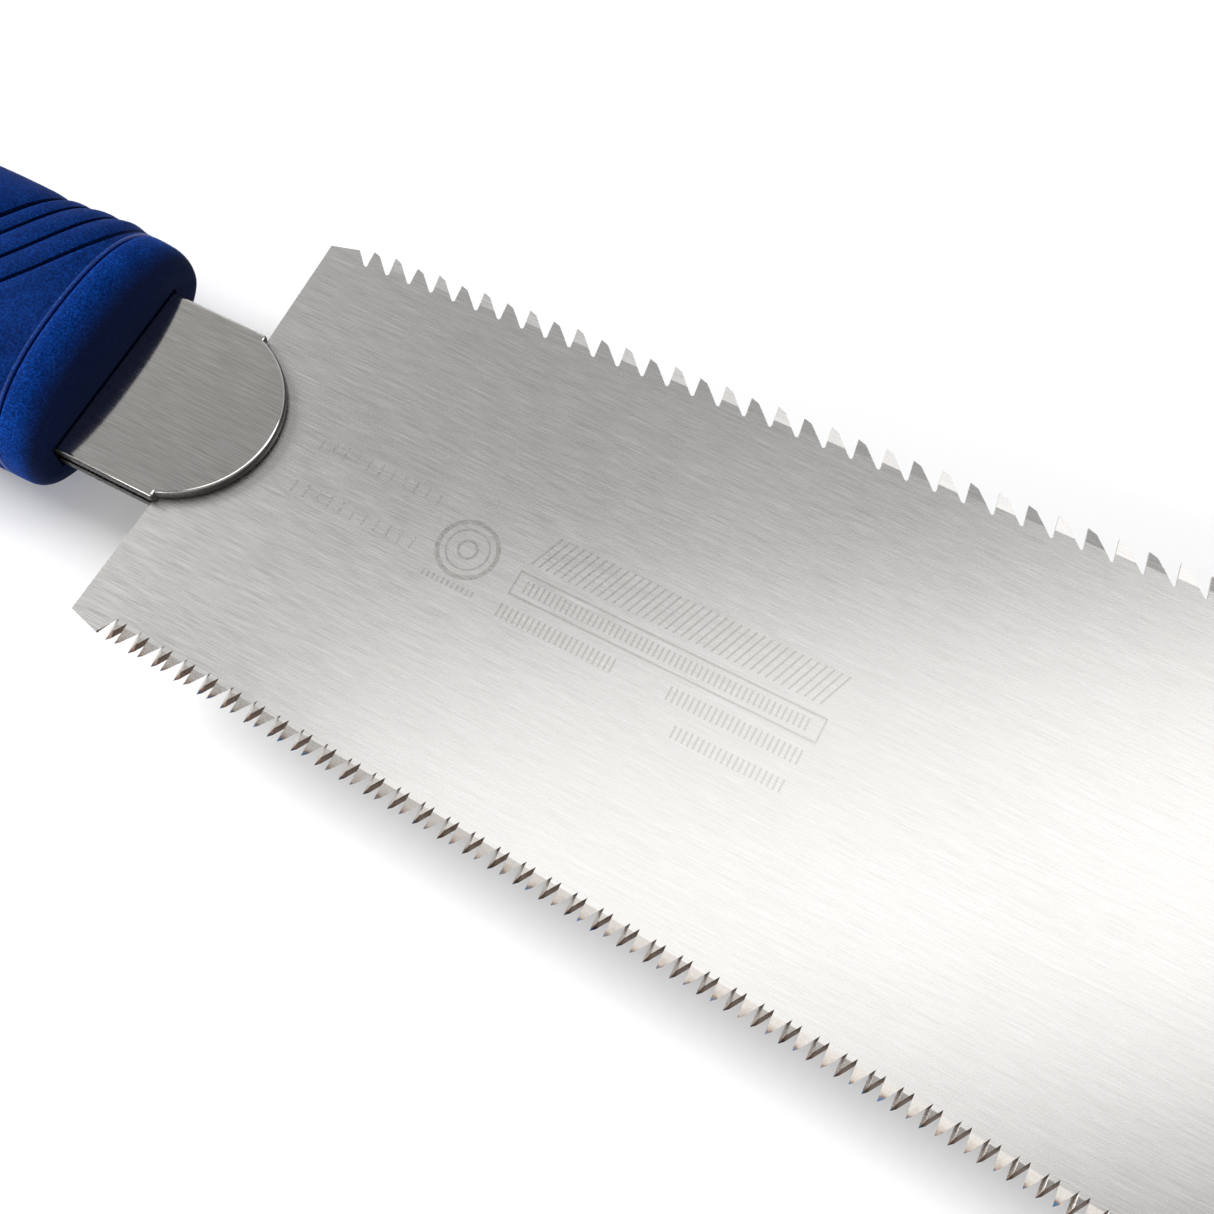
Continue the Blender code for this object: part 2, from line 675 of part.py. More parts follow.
def slanted_ring(aft, order, depth):
    """A section of the grip that runs along a curved groove; near the collar it closes up."""
    limit = SEAM + GAP + order * RING_CROWDING
    swell = BAND_SWELL * abs(sin(pi * (aft - FIRST_VALLEY) / BAND_PITCH))
    points = []
    for step in range(RING_POINTS):
        angle = 2 * pi * step / RING_POINTS
        y = oval(angle, smooth_value(HALF_WIDTHS, aft), 1)[0]
        place = max(aft - y * (GROOVE_SLANT - GROOVE_CURVE * abs(y)), limit)
        inset = (depth - swell) * min((place - limit) / GROOVE_FADE, 1)
        half_width = smooth_value(HALF_WIDTHS, place) - inset
        half_height = smooth_value(HALF_HEIGHTS, place) - inset
        points.append((-place, *oval(angle, half_width, half_height, flat=REST_HEIGHT - max(inset, 0))))
    return points


def grooves():
    """(distance aft on the axis, depth, half-width) of each groove: every band ends with a valley."""
    made = []
    for band in range(BANDS):
        valley = FIRST_VALLEY + band * BAND_PITCH
        for number in reversed(range(THIN_GROOVES)):
            made.append((valley - VALLEY_LEAD - number * GROOVE_PITCH, GROOVE_DEPTH, GROOVE_HALF_WIDTH))
        made.append((valley, VALLEY_DEPTH, VALLEY_HALF_WIDTH))
    return made


def grip_outside():
    """Rings from the collar to the butt cap: each groove has two brinks and a bottom."""
    rings = [handle_ring(SEAM + GAP)]
    for aft, depth, half_width in grooves():
        for offset, share in ((-half_width, 0), (0, 1), (half_width, 0)):
            rings.append(slanted_ring(aft + offset, len(rings), share * depth))
    rings.append(handle_ring(GRIP_END))
    return rings


def build_grip():
    outside = grip_outside()
    stations = (GRIP_END, *reversed(CORE_STATIONS), SEAM + GAP)
    inside = [handle_ring(aft, GRIP_WALL) for aft in stations]
    piece("grip_sleeve", loft(outside + inside, closed=True), blue_rubber)


def rounding(aft, length):
    """Share of a quarter-round's drop at a distance aft of the collar's front."""
    reach = max(1 - (aft - COLLAR_FRONT) / length, 0)
    return 1 - (1 - reach * reach) ** 0.5


def collar_ring(aft):
    half_width = smooth_value(HALF_WIDTHS, SEAM) - COLLAR_SIDE_DROP * rounding(aft, COLLAR_SIDE_LENGTH)
    half_height = smooth_value(HALF_HEIGHTS, SEAM) - COLLAR_TOP_DROP * rounding(aft, COLLAR_TOP_LENGTH)
    return ring(aft, half_width, half_height)


def build_collar():
    """A smooth ring round the jaw: rounded front, socket for the core's nose, slot for the jaw."""
    turn = [pi / 2 * step / ROUND_STEPS for step in range(ROUND_STEPS + 1)]
    rings = [collar_ring(COLLAR_FRONT + (SEAM - COLLAR_FRONT) * (1 - sin(angle))) for angle in turn]
    collar = piece("front_collar", loft(rings), blue_rubber)
    socket = loft([
        ring(aft, NOSE_HALF_WIDTH + GAP, NOSE_HALF_HEIGHT + GAP, NOSE_POWER)
        for aft in (NOSE_FRONT - GAP, SEAM + NOSE_FRONT)
    ])
    cut(collar, "nose_socket", socket)
    room = PLATE_OUTER + GAP
    slot = block(0, NOSE_FRONT, JAW_HALF_WIDTH + GAP, -room, room, JAW_OFFSET)
    cut(collar, "jaw_slot", slot)


def half_ring(aft, half_width, half_height, side, power=SECTION_POWER):
    """Upper or lower half of a section, stopped half a gap short of the middle plane."""
    steps = RING_POINTS // 2
    points = []
    for step in range(steps + 1):
        y, z = oval(pi * step / steps, half_width, half_height, power)
        points.append((-aft, y, side * max(z, GAP / 2)))
    return points


def core_half(name, side):
    """Nose in the collar, body in the grip and tail in the butt cap."""
    rings = [half_ring(aft, NOSE_HALF_WIDTH, NOSE_HALF_HEIGHT, side, NOSE_POWER)
             for aft in (NOSE_FRONT, NOSE_END)]
    inset = GRIP_WALL + GAP
    for aft in (CORE_START, *CORE_STATIONS, GRIP_END):
        half_width = smooth_value(HALF_WIDTHS, aft) - inset
        half_height = min(smooth_value(HALF_HEIGHTS, aft), REST_HEIGHT) - inset
        rings.append(half_ring(aft, half_width, half_height, side))
    for aft in (GRIP_END + GAP, TENON_END):
        rings.append(half_ring(aft, TENON_HALF_WIDTH, TENON_HALF_HEIGHT, side))
    return piece(name, loft(rings), core_plastic)


def build_core():
    """Two stiff halves that close round the jaw and carry the grip."""
    head_room = PLATE_OUTER + HEAD_HEIGHT + 2 * GAP
    spring_room = head_room + SPRING_THICKNESS + 2 * GAP
    for name, side in (("core_half_upper", 1), ("core_half_lower", -1)):
        half = core_half(name, side)
        room = PLATE_OUTER + GAP
        mouth = block(0, JAW_STEP_AFT + GAP, JAW_HALF_WIDTH + GAP, -room, room, JAW_OFFSET)
        cut(half, f"{name}_jaw_mouth", mouth)
        plates = block(0, JAW_REAR + GAP, JAW_REAR_HALF_WIDTH + GAP, -room, room)
        cut(half, f"{name}_jaw_pocket", plates)
        heads = block(CORE_START, JAW_REAR + GAP, JAW_REAR_HALF_WIDTH + GAP, -head_room, head_room)
        cut(half, f"{name}_rivet_pocket", heads)
        for what, place in (("left", 1), ("right", -1)):
            tall = ANCHOR_HALF_LENGTH + GAP
            hole = prism(circle(ANCHOR_AFT, place * ANCHOR_SIDE, ANCHOR_RADIUS + GAP), -tall, tall)
            cut(half, f"{name}_anchor_{what}", hole)
        for what, aft in CORE_SCREW_AFT.items():
            shank = circle(aft, 0, CORE_SCREW_RADIUS + GAP)
            cut(half, f"{name}_screw_{what}", prism(shank, CORE_SCREW_TIP - GAP, REST_HEIGHT))
    for what, aft in CORE_SCREW_AFT.items():
        counterbore = prism(circle(aft, 0, CORE_SCREW_HEAD + GAP), CORE_SCREW_SEAT, REST_HEIGHT)
        cut(bpy.data.objects["core_half_upper"], f"screw_head_{what}", counterbore)
        place = CORE_SCREW_SEAT + GAP, CORE_SCREW_TIP
        build_screw(f"core_screw_{what}", aft, *place, CORE_SCREW_RADIUS, CORE_SCREW_HEAD)
    leaf = block(SPRING_FRONT - 2 * GAP, JAW_REAR + GAP, SPRING_HALF_WIDTH + GAP, -spring_room, 0)
    cut(bpy.data.objects["core_half_lower"], "spring_pocket", leaf)


def build_screw(name, aft, seat, tip, radius, head_radius):
    """A pan-head screw; it points down when its tip is lower than its seat, and up when higher."""
    down = 1 if tip < seat else -1
    top = seat + down * SCREW_HEAD_HEIGHT
    brim = (2 * top + seat) / 3
    profile = [
        (radius * SCREW_POINT, tip),
        (radius, tip + down * radius),
        (radius, seat),
        (head_radius, seat),
        (head_radius, brim),
        (head_radius * SCREW_HEAD_CROWN, top),
    ]
    screw = piece(name, turned(profile, aft), fastener_steel)
    arm = head_radius * RECESS_REACH
    slit = head_radius * RECESS_HALF_WIDTH
    low, high = sorted(((seat + top) / 2, top + down * GAP))
    for what, along, across in (("a", arm, slit), ("b", slit, arm)):
        cut(screw, f"{name}_recess_{what}", block(aft - along, aft + along, across, low, high))


def build_cap():
    """The butt: a solid end with a hanging hole, screwed to the core's tail from below."""
    width = smooth_value(HALF_WIDTHS, BUTT_ROUND_START)
    height = smooth_value(HALF_HEIGHTS, BUTT_ROUND_START)
    rings = [handle_ring(aft) for aft in (GRIP_END + GAP, CAP_MIDDLE, BUTT_ROUND_START)]
    for step in range(1, ROUND_STEPS + 1):
        angle = pi / 2 * step / ROUND_STEPS
        aft = BUTT_ROUND_START + (BUTT - BUTT_ROUND_START) * sin(angle)
        share = cos(angle)
        half_width = BUTT_FLAT_HALF_WIDTH + (width - BUTT_FLAT_HALF_WIDTH) * share
        half_height = BUTT_FLAT_HALF_HEIGHT + (height - BUTT_FLAT_HALF_HEIGHT) * share
        rings.append(ring(aft, half_width, half_height))
    cap = piece("butt_cap", loft(rings), blue_rubber)
    socket = loft([
        ring(aft, TENON_HALF_WIDTH + GAP, TENON_HALF_HEIGHT + GAP)
        for aft in (GRIP_END - TENON_HALF_HEIGHT, TENON_END + GAP)
    ])
    cut(cap, "tail_socket", socket)
    hole = prism(circle(HANG_HOLE_AFT, 0, HANG_HOLE_RADIUS, 24), -2 * REST_HEIGHT, 2 * REST_HEIGHT)
    cut(cap, "hanging_hole", hole)
    shank = circle(CAP_SCREW_AFT, 0, CAP_SCREW_RADIUS + GAP)
    cut(cap, "cap_screw_hole", prism(shank, -REST_HEIGHT, 0))
    counterbore = circle(CAP_SCREW_AFT, 0, CAP_SCREW_HEAD + GAP)
    cut(cap, "cap_screw_counterbore", prism(counterbore, -2 * REST_HEIGHT, CAP_SCREW_SEAT))
    cut(bpy.data.objects["core_half_lower"], "tail_screw_hole", prism(shank, -REST_HEIGHT, REST_HEIGHT))
    place = CAP_SCREW_SEAT - GAP, CAP_SCREW_TIP
    build_screw("cap_screw", CAP_SCREW_AFT, *place, CAP_SCREW_RADIUS, CAP_SCREW_HEAD)


def clear_scene():
    for item in list(bpy.data.objects):
        bpy.data.objects.remove(item, do_unlink=True)


clear_scene()
build_blade()
build_jaw_plates()
build_rails()
build_rivets()
build_spring()
build_anchor_pins()
build_core()
build_collar()
build_grip()
build_cap()
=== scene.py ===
"""Looks of the double-edged pull saw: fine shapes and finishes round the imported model.

Shapes are drawn about one datum, the point where the blade's heel edge crosses the handle's axis:
+X towards the toe, +Y towards the rip edge, +Z up. "Aft" is a distance from the heel towards the
butt. All lengths are metres.
"""
from math import atan2, copysign, cos, pi, radians, sin, tan

import bmesh
import bpy
from mathutils import Matrix, Vector


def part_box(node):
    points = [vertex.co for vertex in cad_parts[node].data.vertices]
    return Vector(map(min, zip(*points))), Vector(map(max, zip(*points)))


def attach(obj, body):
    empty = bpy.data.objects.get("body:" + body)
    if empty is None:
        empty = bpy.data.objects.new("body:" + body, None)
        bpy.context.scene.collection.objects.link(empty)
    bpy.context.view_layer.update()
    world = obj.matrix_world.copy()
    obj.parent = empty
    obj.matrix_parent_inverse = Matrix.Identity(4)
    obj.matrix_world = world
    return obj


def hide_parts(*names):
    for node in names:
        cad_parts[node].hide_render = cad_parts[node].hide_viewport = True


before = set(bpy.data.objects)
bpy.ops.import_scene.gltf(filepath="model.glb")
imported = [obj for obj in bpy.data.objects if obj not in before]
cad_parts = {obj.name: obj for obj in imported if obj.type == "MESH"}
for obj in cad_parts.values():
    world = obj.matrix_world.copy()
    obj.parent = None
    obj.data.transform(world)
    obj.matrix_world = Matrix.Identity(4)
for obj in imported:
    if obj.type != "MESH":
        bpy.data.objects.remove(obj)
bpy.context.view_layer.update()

# ---- Dimensions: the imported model's, and the finer roundings and grooves it leaves out ----

GAP = 0.0003                     # clearance left between pieces that touch
BLADE_LENGTH = 0.180             # heel edge to the corners of the toe
TOE_BULGE = 0.003                # how far the toe's arc stands past its corners
BLADE_FACE = 0.00025             # half of the blade's thickness
RIP_HALF_WIDTH = 0.02475         # axis to the bottoms of the rip gullets, at the heel
CROSS_HALF_WIDTH = 0.02515       # the same on the crosscut side
FLARE = radians(3.1)             # how much each toothed edge opens towards the toe
TEETH_END = 0.1750               # distance from the heel where the last teeth start
HEEL_SWEEP = 0.0005              # the heel's corners lie this much aft of its middle
RIP_HEEL_RISE = 0.0010           # plain corner of the heel, over the gullet line
RIP_PLAIN_RISE = 0.0020          # end of the heel's plain edge, over the gullet line
RIP_PLAIN_STEP = 0.0020          # from there to the first gullet
CROSS_HEEL_RISE = 0.0016         # the same on the crosscut side
CROSS_PLAIN_RISE = 0.0026
CROSS_PLAIN_STEP = 0.0012
TOE_STEP = 0.0012                # from the last gullet to the toe's plain edge
TOE_RISE = 0.0024                # toe's plain edge, over the gullet line
TOE_CORNER_RADIUS = 0.0015

RIP_START = 0.0048
RIP_FIRST_PITCH = 0.00284
RIP_PITCH_GROWTH = 0.000021
RIP_DEPTH = 0.86                 # of the pitch
RIP_LEAN = 0.15                  # how far the tip leans to the handle, of the pitch
RIP_TOP_LENGTH = 0.31            # slanted top of the tooth, of the pitch
RIP_TOP_DROP = 0.11              # what the slanted top loses, of the depth
RIP_GULLET_RADIUS = 0.00022
RIP_GULLET_SINK = 0.00038        # the flanks would meet this far below the rounded bottom
RIP_BEND = 0.38                  # height of the bend that sets the tooth, of the depth
RIP_SET = 0.00020                # how far the tip is set out of the blade's plane

CROSS_START = 0.0045
CROSS_PITCH = 0.0015
CROSS_DEPTH = 0.0026
CROSS_FILE_ANGLE = radians(41)
CROSS_FRONT_LEAN = 0.06          # run of the front flank along the edge per unit of height
CROSS_BACK_LEAN = 0.61           # the same for the back flank
CROSS_TOP = 0.83                 # height where the third bevel leaves the back flank, of the tip's
CROSS_INNER_TIP = 0.96           # on the inner face, of the height where the flanks meet
CROSS_INNER_SHOULDER = 0.88
CROSS_BEND = 0.00055
CROSS_SET = 0.00017

TANG_LENGTH = 0.052
TANG_HALF_WIDTH = 0.0074
TANG_FILLET = 0.0018
TANG_CHAMFER = 0.0020
SLOT_HALF_WIDTH = 0.0027         # open slot that straddles the stop pin
SLOT_MOUTH = 0.0009              # flare of the slot's mouth

JAW_HALF_WIDTH = 0.0117
JAW_OFFSET = -0.0006             # its front lies a little towards the crosscut edge
JAW_STEP_AFT = 0.0205            # behind this the plates are narrower and centred
JAW_REAR_HALF_WIDTH = JAW_HALF_WIDTH + JAW_OFFSET
PLATE_THICKNESS = 0.0011
PLATE_ROLL = 0.00042             # radius of the rolled outer edge
PLATE_INNER_ROLL = 0.00012       # the same for its inner edge
JAW_REAR = 0.062
JAW_SHOULDER = 0.0003            # the plates keep their full width this far past the heel
SHOULDER_RADIUS = 0.00046        # outer corner of the plate's shoulder
SHOULDER_FILLET = 0.00006        # inner corner between the shoulder and the tongue
TONGUE_RADIUS = 0.0117           # round tongue that lies on the blade
TONGUE_CENTRE = -0.0037
STOP_PIN_AFT = 0.0424
STOP_PIN_RADIUS = 0.0022
RIVET_AFT = (0.024, 0.050)
RIVET_SIDE = 0.0092
RIVET_RADIUS = 0.0009
SPRING_RIVET_AFT = 0.0565
ANCHOR_AFT = 0.057
ANCHOR_SIDE = 0.0055
ANCHOR_RADIUS = 0.0015
WINDOW_FRONT = 0.0170            # opening in the lower plate for the spring
WINDOW_REAR = 0.0370
WINDOW_HALF_WIDTH = 0.0045

BUTT = 0.210
COLLAR_FRONT = 0.0125
SEAM = 0.0172                    # joint between the collar and the grip
GRIP_END = 0.186                 # joint between the grip and the butt cap
REST_HEIGHT = 0.0105             # blade's middle plane over the flat underside
SECTION_POWER = 2.3              # squareness of the handle's oval section
RING_POINTS = 96
GRIP_WALL = 0.0022
HALF_WIDTHS = ((SEAM, 0.0160), (0.060, 0.0146), (0.110, 0.0156), (0.160, 0.0172), (0.210, 0.0176))
HALF_HEIGHTS = ((SEAM, 0.0104), (0.045, 0.0110), (0.120, 0.0112), (0.210, 0.0112))
INSIDE_STATIONS = (0.034, 0.048, 0.070, 0.100, 0.130, 0.160)
LIP = 0.0003                     # rounding of the edges at the joints of the handle

COLLAR_TOP_LENGTH = 0.0044       # the collar's front drops over this length, above and below
COLLAR_TOP_DROP = 0.0060
COLLAR_SIDE_LENGTH = 0.0025      # and draws in over this one at the sides
COLLAR_SIDE_DROP = 0.0016

GROOVE_SLANT = 0.72              # run of a groove along the handle per unit of width, on the axis
GROOVE_CURVE = 22                # how fast the grooves square up towards the sides, per metre
GROOVE_PITCH = 0.0037
THIN_GROOVES = 3                 # in each band, ahead of its deep valley
VALLEY_LEAD = 0.0028             # from the last thin groove to the deep valley of its band
BAND_PITCH = 0.0216
BANDS = 7
BAND_SWELL = 0.00045             # how far a band swells between two valleys
FIRST_VALLEY = 0.0343            # on the axis
GROOVE_DEPTH = 0.0010
GROOVE_CUT = 0.00030             # half-width of the sharp cut along a groove's bottom
GROOVE_DISH = 0.0018             # half-width of the shallow dish on either side of the cut
VALLEY_DEPTH = 0.0013
VALLEY_CUT = 0.0005
VALLEY_DISH = 0.0026
CUT_SHARE = 0.7                  # of a groove's depth, what the sharp cut takes
GROOVE_FADE = 0.0020             # grooves run out over this distance from the collar
RING_CROWDING = 0.000006         # rings that would pass the collar are stacked this close

NOSE_FRONT = 0.0144              # core's nose, inside the collar
NOSE_HALF_WIDTH = 0.0133
NOSE_HALF_HEIGHT = 0.0036
NOSE_POWER = 6
TENON_END = 0.1935               # core's tail, inside the butt cap
TENON_HALF_WIDTH = 0.0110
TENON_HALF_HEIGHT = 0.0062
CAP_SCREW_AFT = 0.1897
CAP_SCREW_RADIUS = 0.0013
CAP_SCREW_HEAD = 0.0024
CAP_SCREW_SEAT = -0.0080
CAP_MIDDLE = 0.194
BUTT_ROUND_START = 0.2035
BUTT_FLAT_HALF_WIDTH = 0.0105    # flat end of the butt
BUTT_FLAT_HALF_HEIGHT = 0.0062
HANG_HOLE_AFT = 0.2006
HANG_HOLE_RADIUS = 0.0034
HANG_HOLE_FLARE = 0.0009         # rounding of the hole's two mouths

PLATE_INNER = BLADE_FACE + GAP
PLATE_OUTER = PLATE_INNER + PLATE_THICKNESS
SHARP = radians(33)              # edges that turn by more than this stay sharp

rail_low, rail_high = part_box("jaw_rail_left")
heel_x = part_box("saw_blade")[1].x - BLADE_LENGTH - TOE_BULGE
DATUM = Vector((heel_x, 0, (rail_low.z + rail_high.z) / 2))


# ---- Finishes ----

NOISE_RANGE = 0.3, 0.7


class Finish:
    """A material round one Principled shader, with patterns sized in metres of the piece."""

    def __init__(self, name, colour, roughness, metallic=0.0, specular=0.5):
        self.material = bpy.data.materials.new(name)
        self.material.use_nodes = True
        self.tree = self.material.node_tree
        self.shader = self.tree.nodes["Principled BSDF"]
        self.shader.inputs["Base Color"].default_value = (*colour, 1)
        self.shader.inputs["Roughness"].default_value = roughness
        self.shader.inputs["Metallic"].default_value = metallic
        self.shader.inputs["Specular IOR Level"].default_value = specular
        self.place = self.node("ShaderNodeTexCoord").outputs["Object"]

    def node(self, kind, inputs=(), **settings):
        made = self.tree.nodes.new(kind)
        for key, value in settings.items():
            setattr(made, key, value)
        for key, value in dict(inputs).items():
            if isinstance(value, bpy.types.NodeSocket):
                self.tree.links.new(value, made.inputs[key])
            else:
                made.inputs[key].default_value = value
        return made

    def noise(self, grain, detail=2.0, harshness=0.5):
        """Noise from 0 to 1 whose grains have this length along each axis."""
        scale = [1 / size for size in grain]
        placed = self.node("ShaderNodeMapping", {"Vector": self.place, "Scale": scale})
        inputs = {
            "Vector": placed.outputs["Vector"],
            "Scale": 1.0,
            "Detail": detail,
            "Roughness": harshness,
        }
        return self.node("ShaderNodeTexNoise", inputs).outputs["Fac"]

    def spread(self, value, start, end, low, high):
        """Stretches a value from one range to another and holds it there."""
        inputs = {"Value": value, "From Min": start, "From Max": end, "To Min": low, "To Max": high}
        return self.node("ShaderNodeMapRange", inputs).outputs["Result"]

    def vary(self, noise, low, high):
        """Stretches noise, which mostly stays within NOISE_RANGE, from low to high."""
        return self.spread(noise, *NOISE_RANGE, low, high)

    def math(self, operation, first, second):
        return self.node("ShaderNodeMath", {0: first, 1: second}, operation=operation).outputs[0]

    def blend(self, first, second, share):
        """A weighted sum, where the first value has this share and the second has the rest."""
        return self.math(
            "ADD", self.math("MULTIPLY", first, share), self.math("MULTIPLY", second, 1 - share))

    def ramp(self, factor, stops):
        """Colour from a factor, by (position, colour) stops."""
        made = self.node("ShaderNodeValToRGB", {"Fac": factor})
        points = made.color_ramp.elements
        while len(points) < len(stops):
            points.new(1.0)
        for point, (position, colour) in zip(points, stops):
            point.position = position
            point.color = (*colour, 1)
        return made.outputs["Color"]

    def colour(self, socket):
        self.tree.links.new(socket, self.shader.inputs["Base Color"])

    def roughness(self, socket):
        self.tree.links.new(socket, self.shader.inputs["Roughness"])

    def bump(self, height, depth):
        made = self.node("ShaderNodeBump", {"Height": height, "Distance": depth, "Strength": 1.0})
        self.tree.links.new(made.outputs["Normal"], self.shader.inputs["Normal"])


def tinted(stops, tint):
    """Colour stops with each colour multiplied by a tint."""
    return [
        (position, tuple(part * share for part, share in zip(colour, tint)))
        for position, colour in stops
    ]


FINE_GRAIN = 0.87                # share of the fine grain in a brushed face's shade
FINE_GLOSS = 0.7                 # share of the fine grain in its gloss


def brushed_steel(name, dark, light, roughness, streak, depth, half_range=0.15):
    """Steel with a fine grain along X, a coarser drift of shade, and clouds of handling."""
    finish = Finish(name, light, roughness, metallic=1.0)
    length, width = streak
    fine = finish.noise((length, width, width), detail=3, harshness=0.6)
    broad = finish.noise((4 * length, 5 * width, 5 * width), detail=2)
    cloud = finish.noise((0.05, 0.03, 0.03), detail=1)
    grain = finish.blend(fine, broad, FINE_GRAIN)
    shade = finish.spread(grain, 0.5 - half_range, 0.5 + half_range, 0, 1)
    finish.colour(finish.ramp(shade, ((0.0, dark), (1.0, light))))
    uneven = finish.blend(fine, cloud, FINE_GLOSS)
    finish.roughness(finish.vary(uneven, roughness - 0.04, roughness + 0.05))
    finish.bump(grain, depth)
    return finish


# (share of the tooth's height, colour)
CROSS_SHADES = (
    (0.0, (0.62, 0.61, 0.60)),
    (0.50, (0.58, 0.56, 0.54)),
    (0.74, (0.46, 0.41, 0.37)),
    (0.84, (0.26, 0.19, 0.16)),
    (0.93, (0.07, 0.15, 0.30)),
)
HEAT_WANDER = 0.0003             # how far the tempered colours wander up and down a tooth


def crosscut_steel(name, tint, roughness):
    """Ground faces of the crosscut teeth, tempered brown and blue towards the tips."""
    finish = Finish(name, (0.5, 0.48, 0.45), roughness, metallic=1.0)
    axes = finish.node("ShaderNodeSeparateXYZ", {"Vector": finish.place}).outputs
    edge = finish.math("MULTIPLY", axes["X"], -tan(FLARE))
    height = finish.math("SUBTRACT", finish.math("SUBTRACT", edge, CROSS_HALF_WIDTH), axes["Y"])
    wander = finish.noise((0.0012, 0.0012, 0.0012))
    uneven = finish.vary(wander, -HEAT_WANDER, HEAT_WANDER)
    heated = finish.spread(finish.math("ADD", height, uneven), 0.0, CROSS_DEPTH, 0, 1)
    finish.colour(finish.ramp(heated, tinted(CROSS_SHADES, tint)))
    grain = finish.noise((0.0002, 0.0002, 0.0002))
    finish.roughness(finish.vary(grain, roughness - 0.03, roughness + 0.03))
    return finish


RUBBER_SHADES = (
    (0.0, (0.0007, 0.0070, 0.050)),
    (0.5, (0.0008, 0.0160, 0.100)),
    (1.0, (0.0032, 0.0350, 0.205)),
)
# Greys of the painted shade on the collar's front
FRONT_SHADE_DARK = (0.0020, 0.0038, 0.0175)
FRONT_SHADE_LIGHT = (0.0054, 0.0118, 0.048)
RUBBER_GRAIN = 0.00024
RUBBER_PATCHES = 0.003
GRAIN_SHARE = 0.84               # of the grain in the rubber's shade; the rest is patches
RUBBER_RELIEF = 0.00009


def rubber(name, lightness=1.0, roughness=0.62, specular=0.02, front_shade=None):
    """Dull navy rubber with a fine moulded grain and faint patches.

    With two distances aft it paints shade: greyer and darker ahead of the first, fading to blue at
    the second.
    """
    finish = Finish(name, (0.002, 0.022, 0.11), roughness, specular=specular)
    grain = finish.noise((RUBBER_GRAIN,) * 3, detail=3, harshness=0.7)
    patches = finish.noise((RUBBER_PATCHES,) * 3, detail=3)
    shade = finish.blend(grain, patches, GRAIN_SHARE)
    shades = tinted(RUBBER_SHADES, (lightness,) * 3)
    colour = finish.ramp(finish.spread(shade, 0.36, 0.64, 0, 1), shades)
    # Painted shade: towards the front the grain runs over darker greys
    if front_shade:
        ahead = finish.node("ShaderNodeSeparateXYZ", {"Vector": finish.place}).outputs["X"]
        fade = finish.spread(ahead, -front_shade[1], -front_shade[0], 0, 1)
        shade_grain = finish.vary(grain, 0, 1)
        shaded_colour = finish.ramp(shade_grain, ((0.0, FRONT_SHADE_DARK), (1.0, FRONT_SHADE_LIGHT)))
        inputs = {"Factor": fade, "A": colour, "B": shaded_colour}
        colour = finish.node("ShaderNodeMix", inputs, data_type="RGBA").outputs["Result"]
    finish.colour(colour)
    finish.roughness(finish.vary(grain, roughness - 0.08, roughness + 0.08))
    finish.bump(grain, RUBBER_RELIEF)
    return finish


def moulded_plastic(name):
    finish = Finish(name, (0.04, 0.045, 0.06), 0.5)
    grain = finish.noise((0.0006, 0.0006, 0.0006), detail=3)
    finish.colour(finish.ramp(grain, ((0.3, (0.030, 0.034, 0.047)), (0.7, (0.050, 0.056, 0.074)))))
    finish.roughness(finish.vary(grain, 0.42, 0.6))
    finish.bump(grain, 0.00004)
    return finish


def turned_steel(name, dark, light):
    """Bright fastener steel with faint machining and handling marks."""
    finish = Finish(name, light, 0.3, metallic=1.0)
    marks = finish.noise((0.0012, 0.0012, 0.00012), detail=3)
    finish.colour(finish.ramp(marks, ((0.3, dark), (0.7, light))))
    finish.roughness(finish.vary(marks, 0.22, 0.38))
    finish.bump(marks, 0.00002)
    return finish


def etched(name, colour, roughness):
    """The dull grey-tan of an etched mark on steel, and of the faint ticks that paint a reflection.
    """
    finish = Finish(name, colour, roughness, metallic=1.0)
    frost = finish.noise((0.0009, 0.00025, 0.00025), detail=3)
    paler = tuple(min(part * 1.10, 1) for part in colour)
    finish.colour(finish.ramp(frost, ((0.3, colour), (0.75, paler))))
    finish.roughness(finish.vary(frost, roughness - 0.05, roughness + 0.05))
    return finish


FLOOR_RADIUS = 1.3
FLOOR_FADE = 0.5                 # where the floor starts to fade out, from its middle


def floor_finish():
    """Pale floor that fades out into the white of the horizon well away from the saw."""
    finish = Finish("floor_pale", (0.82, 0.82, 0.83), 0.8, specular=0.1)
    mottle = finish.noise((0.08, 0.08, 0.08), detail=2)
    finish.colour(finish.ramp(mottle, ((0.2, (0.815, 0.815, 0.825)), (0.8, (0.83, 0.83, 0.835)))))
    away = finish.node("ShaderNodeVectorMath", {0: finish.place}, operation="LENGTH")
    fade = finish.spread(away.outputs["Value"], FLOOR_FADE, FLOOR_RADIUS, 1, 0)
    finish.tree.links.new(fade, finish.shader.inputs["Alpha"])
    return finish


BLADE_STEEL = brushed_steel(
    "blade_steel", (0.605, 0.590, 0.574), (0.770, 0.755, 0.737), 0.27, (0.0045, 0.000065), 1.4e-6)
EDGE_STEEL = brushed_steel(
    "edge_steel", (0.36, 0.35, 0.34), (0.50, 0.49, 0.48), 0.33, (0.0006, 0.00012), 4e-6)
CROSS_STEEL = crosscut_steel("crosscut_steel", (1.0, 0.97, 0.94), 0.28)
# Darker, browner copy of the crosscut steel for the bevels that face the toe: painted shade
CROSS_PAINTED_SHADE = crosscut_steel("crosscut_painted_shade", (0.25, 0.20, 0.175), 0.26)
JAW_STEEL = brushed_steel(
    "jaw_steel", (0.58, 0.560, 0.532), (0.96, 0.932, 0.895), 0.08, (0.004, 0.00004), 8e-7, 0.13)
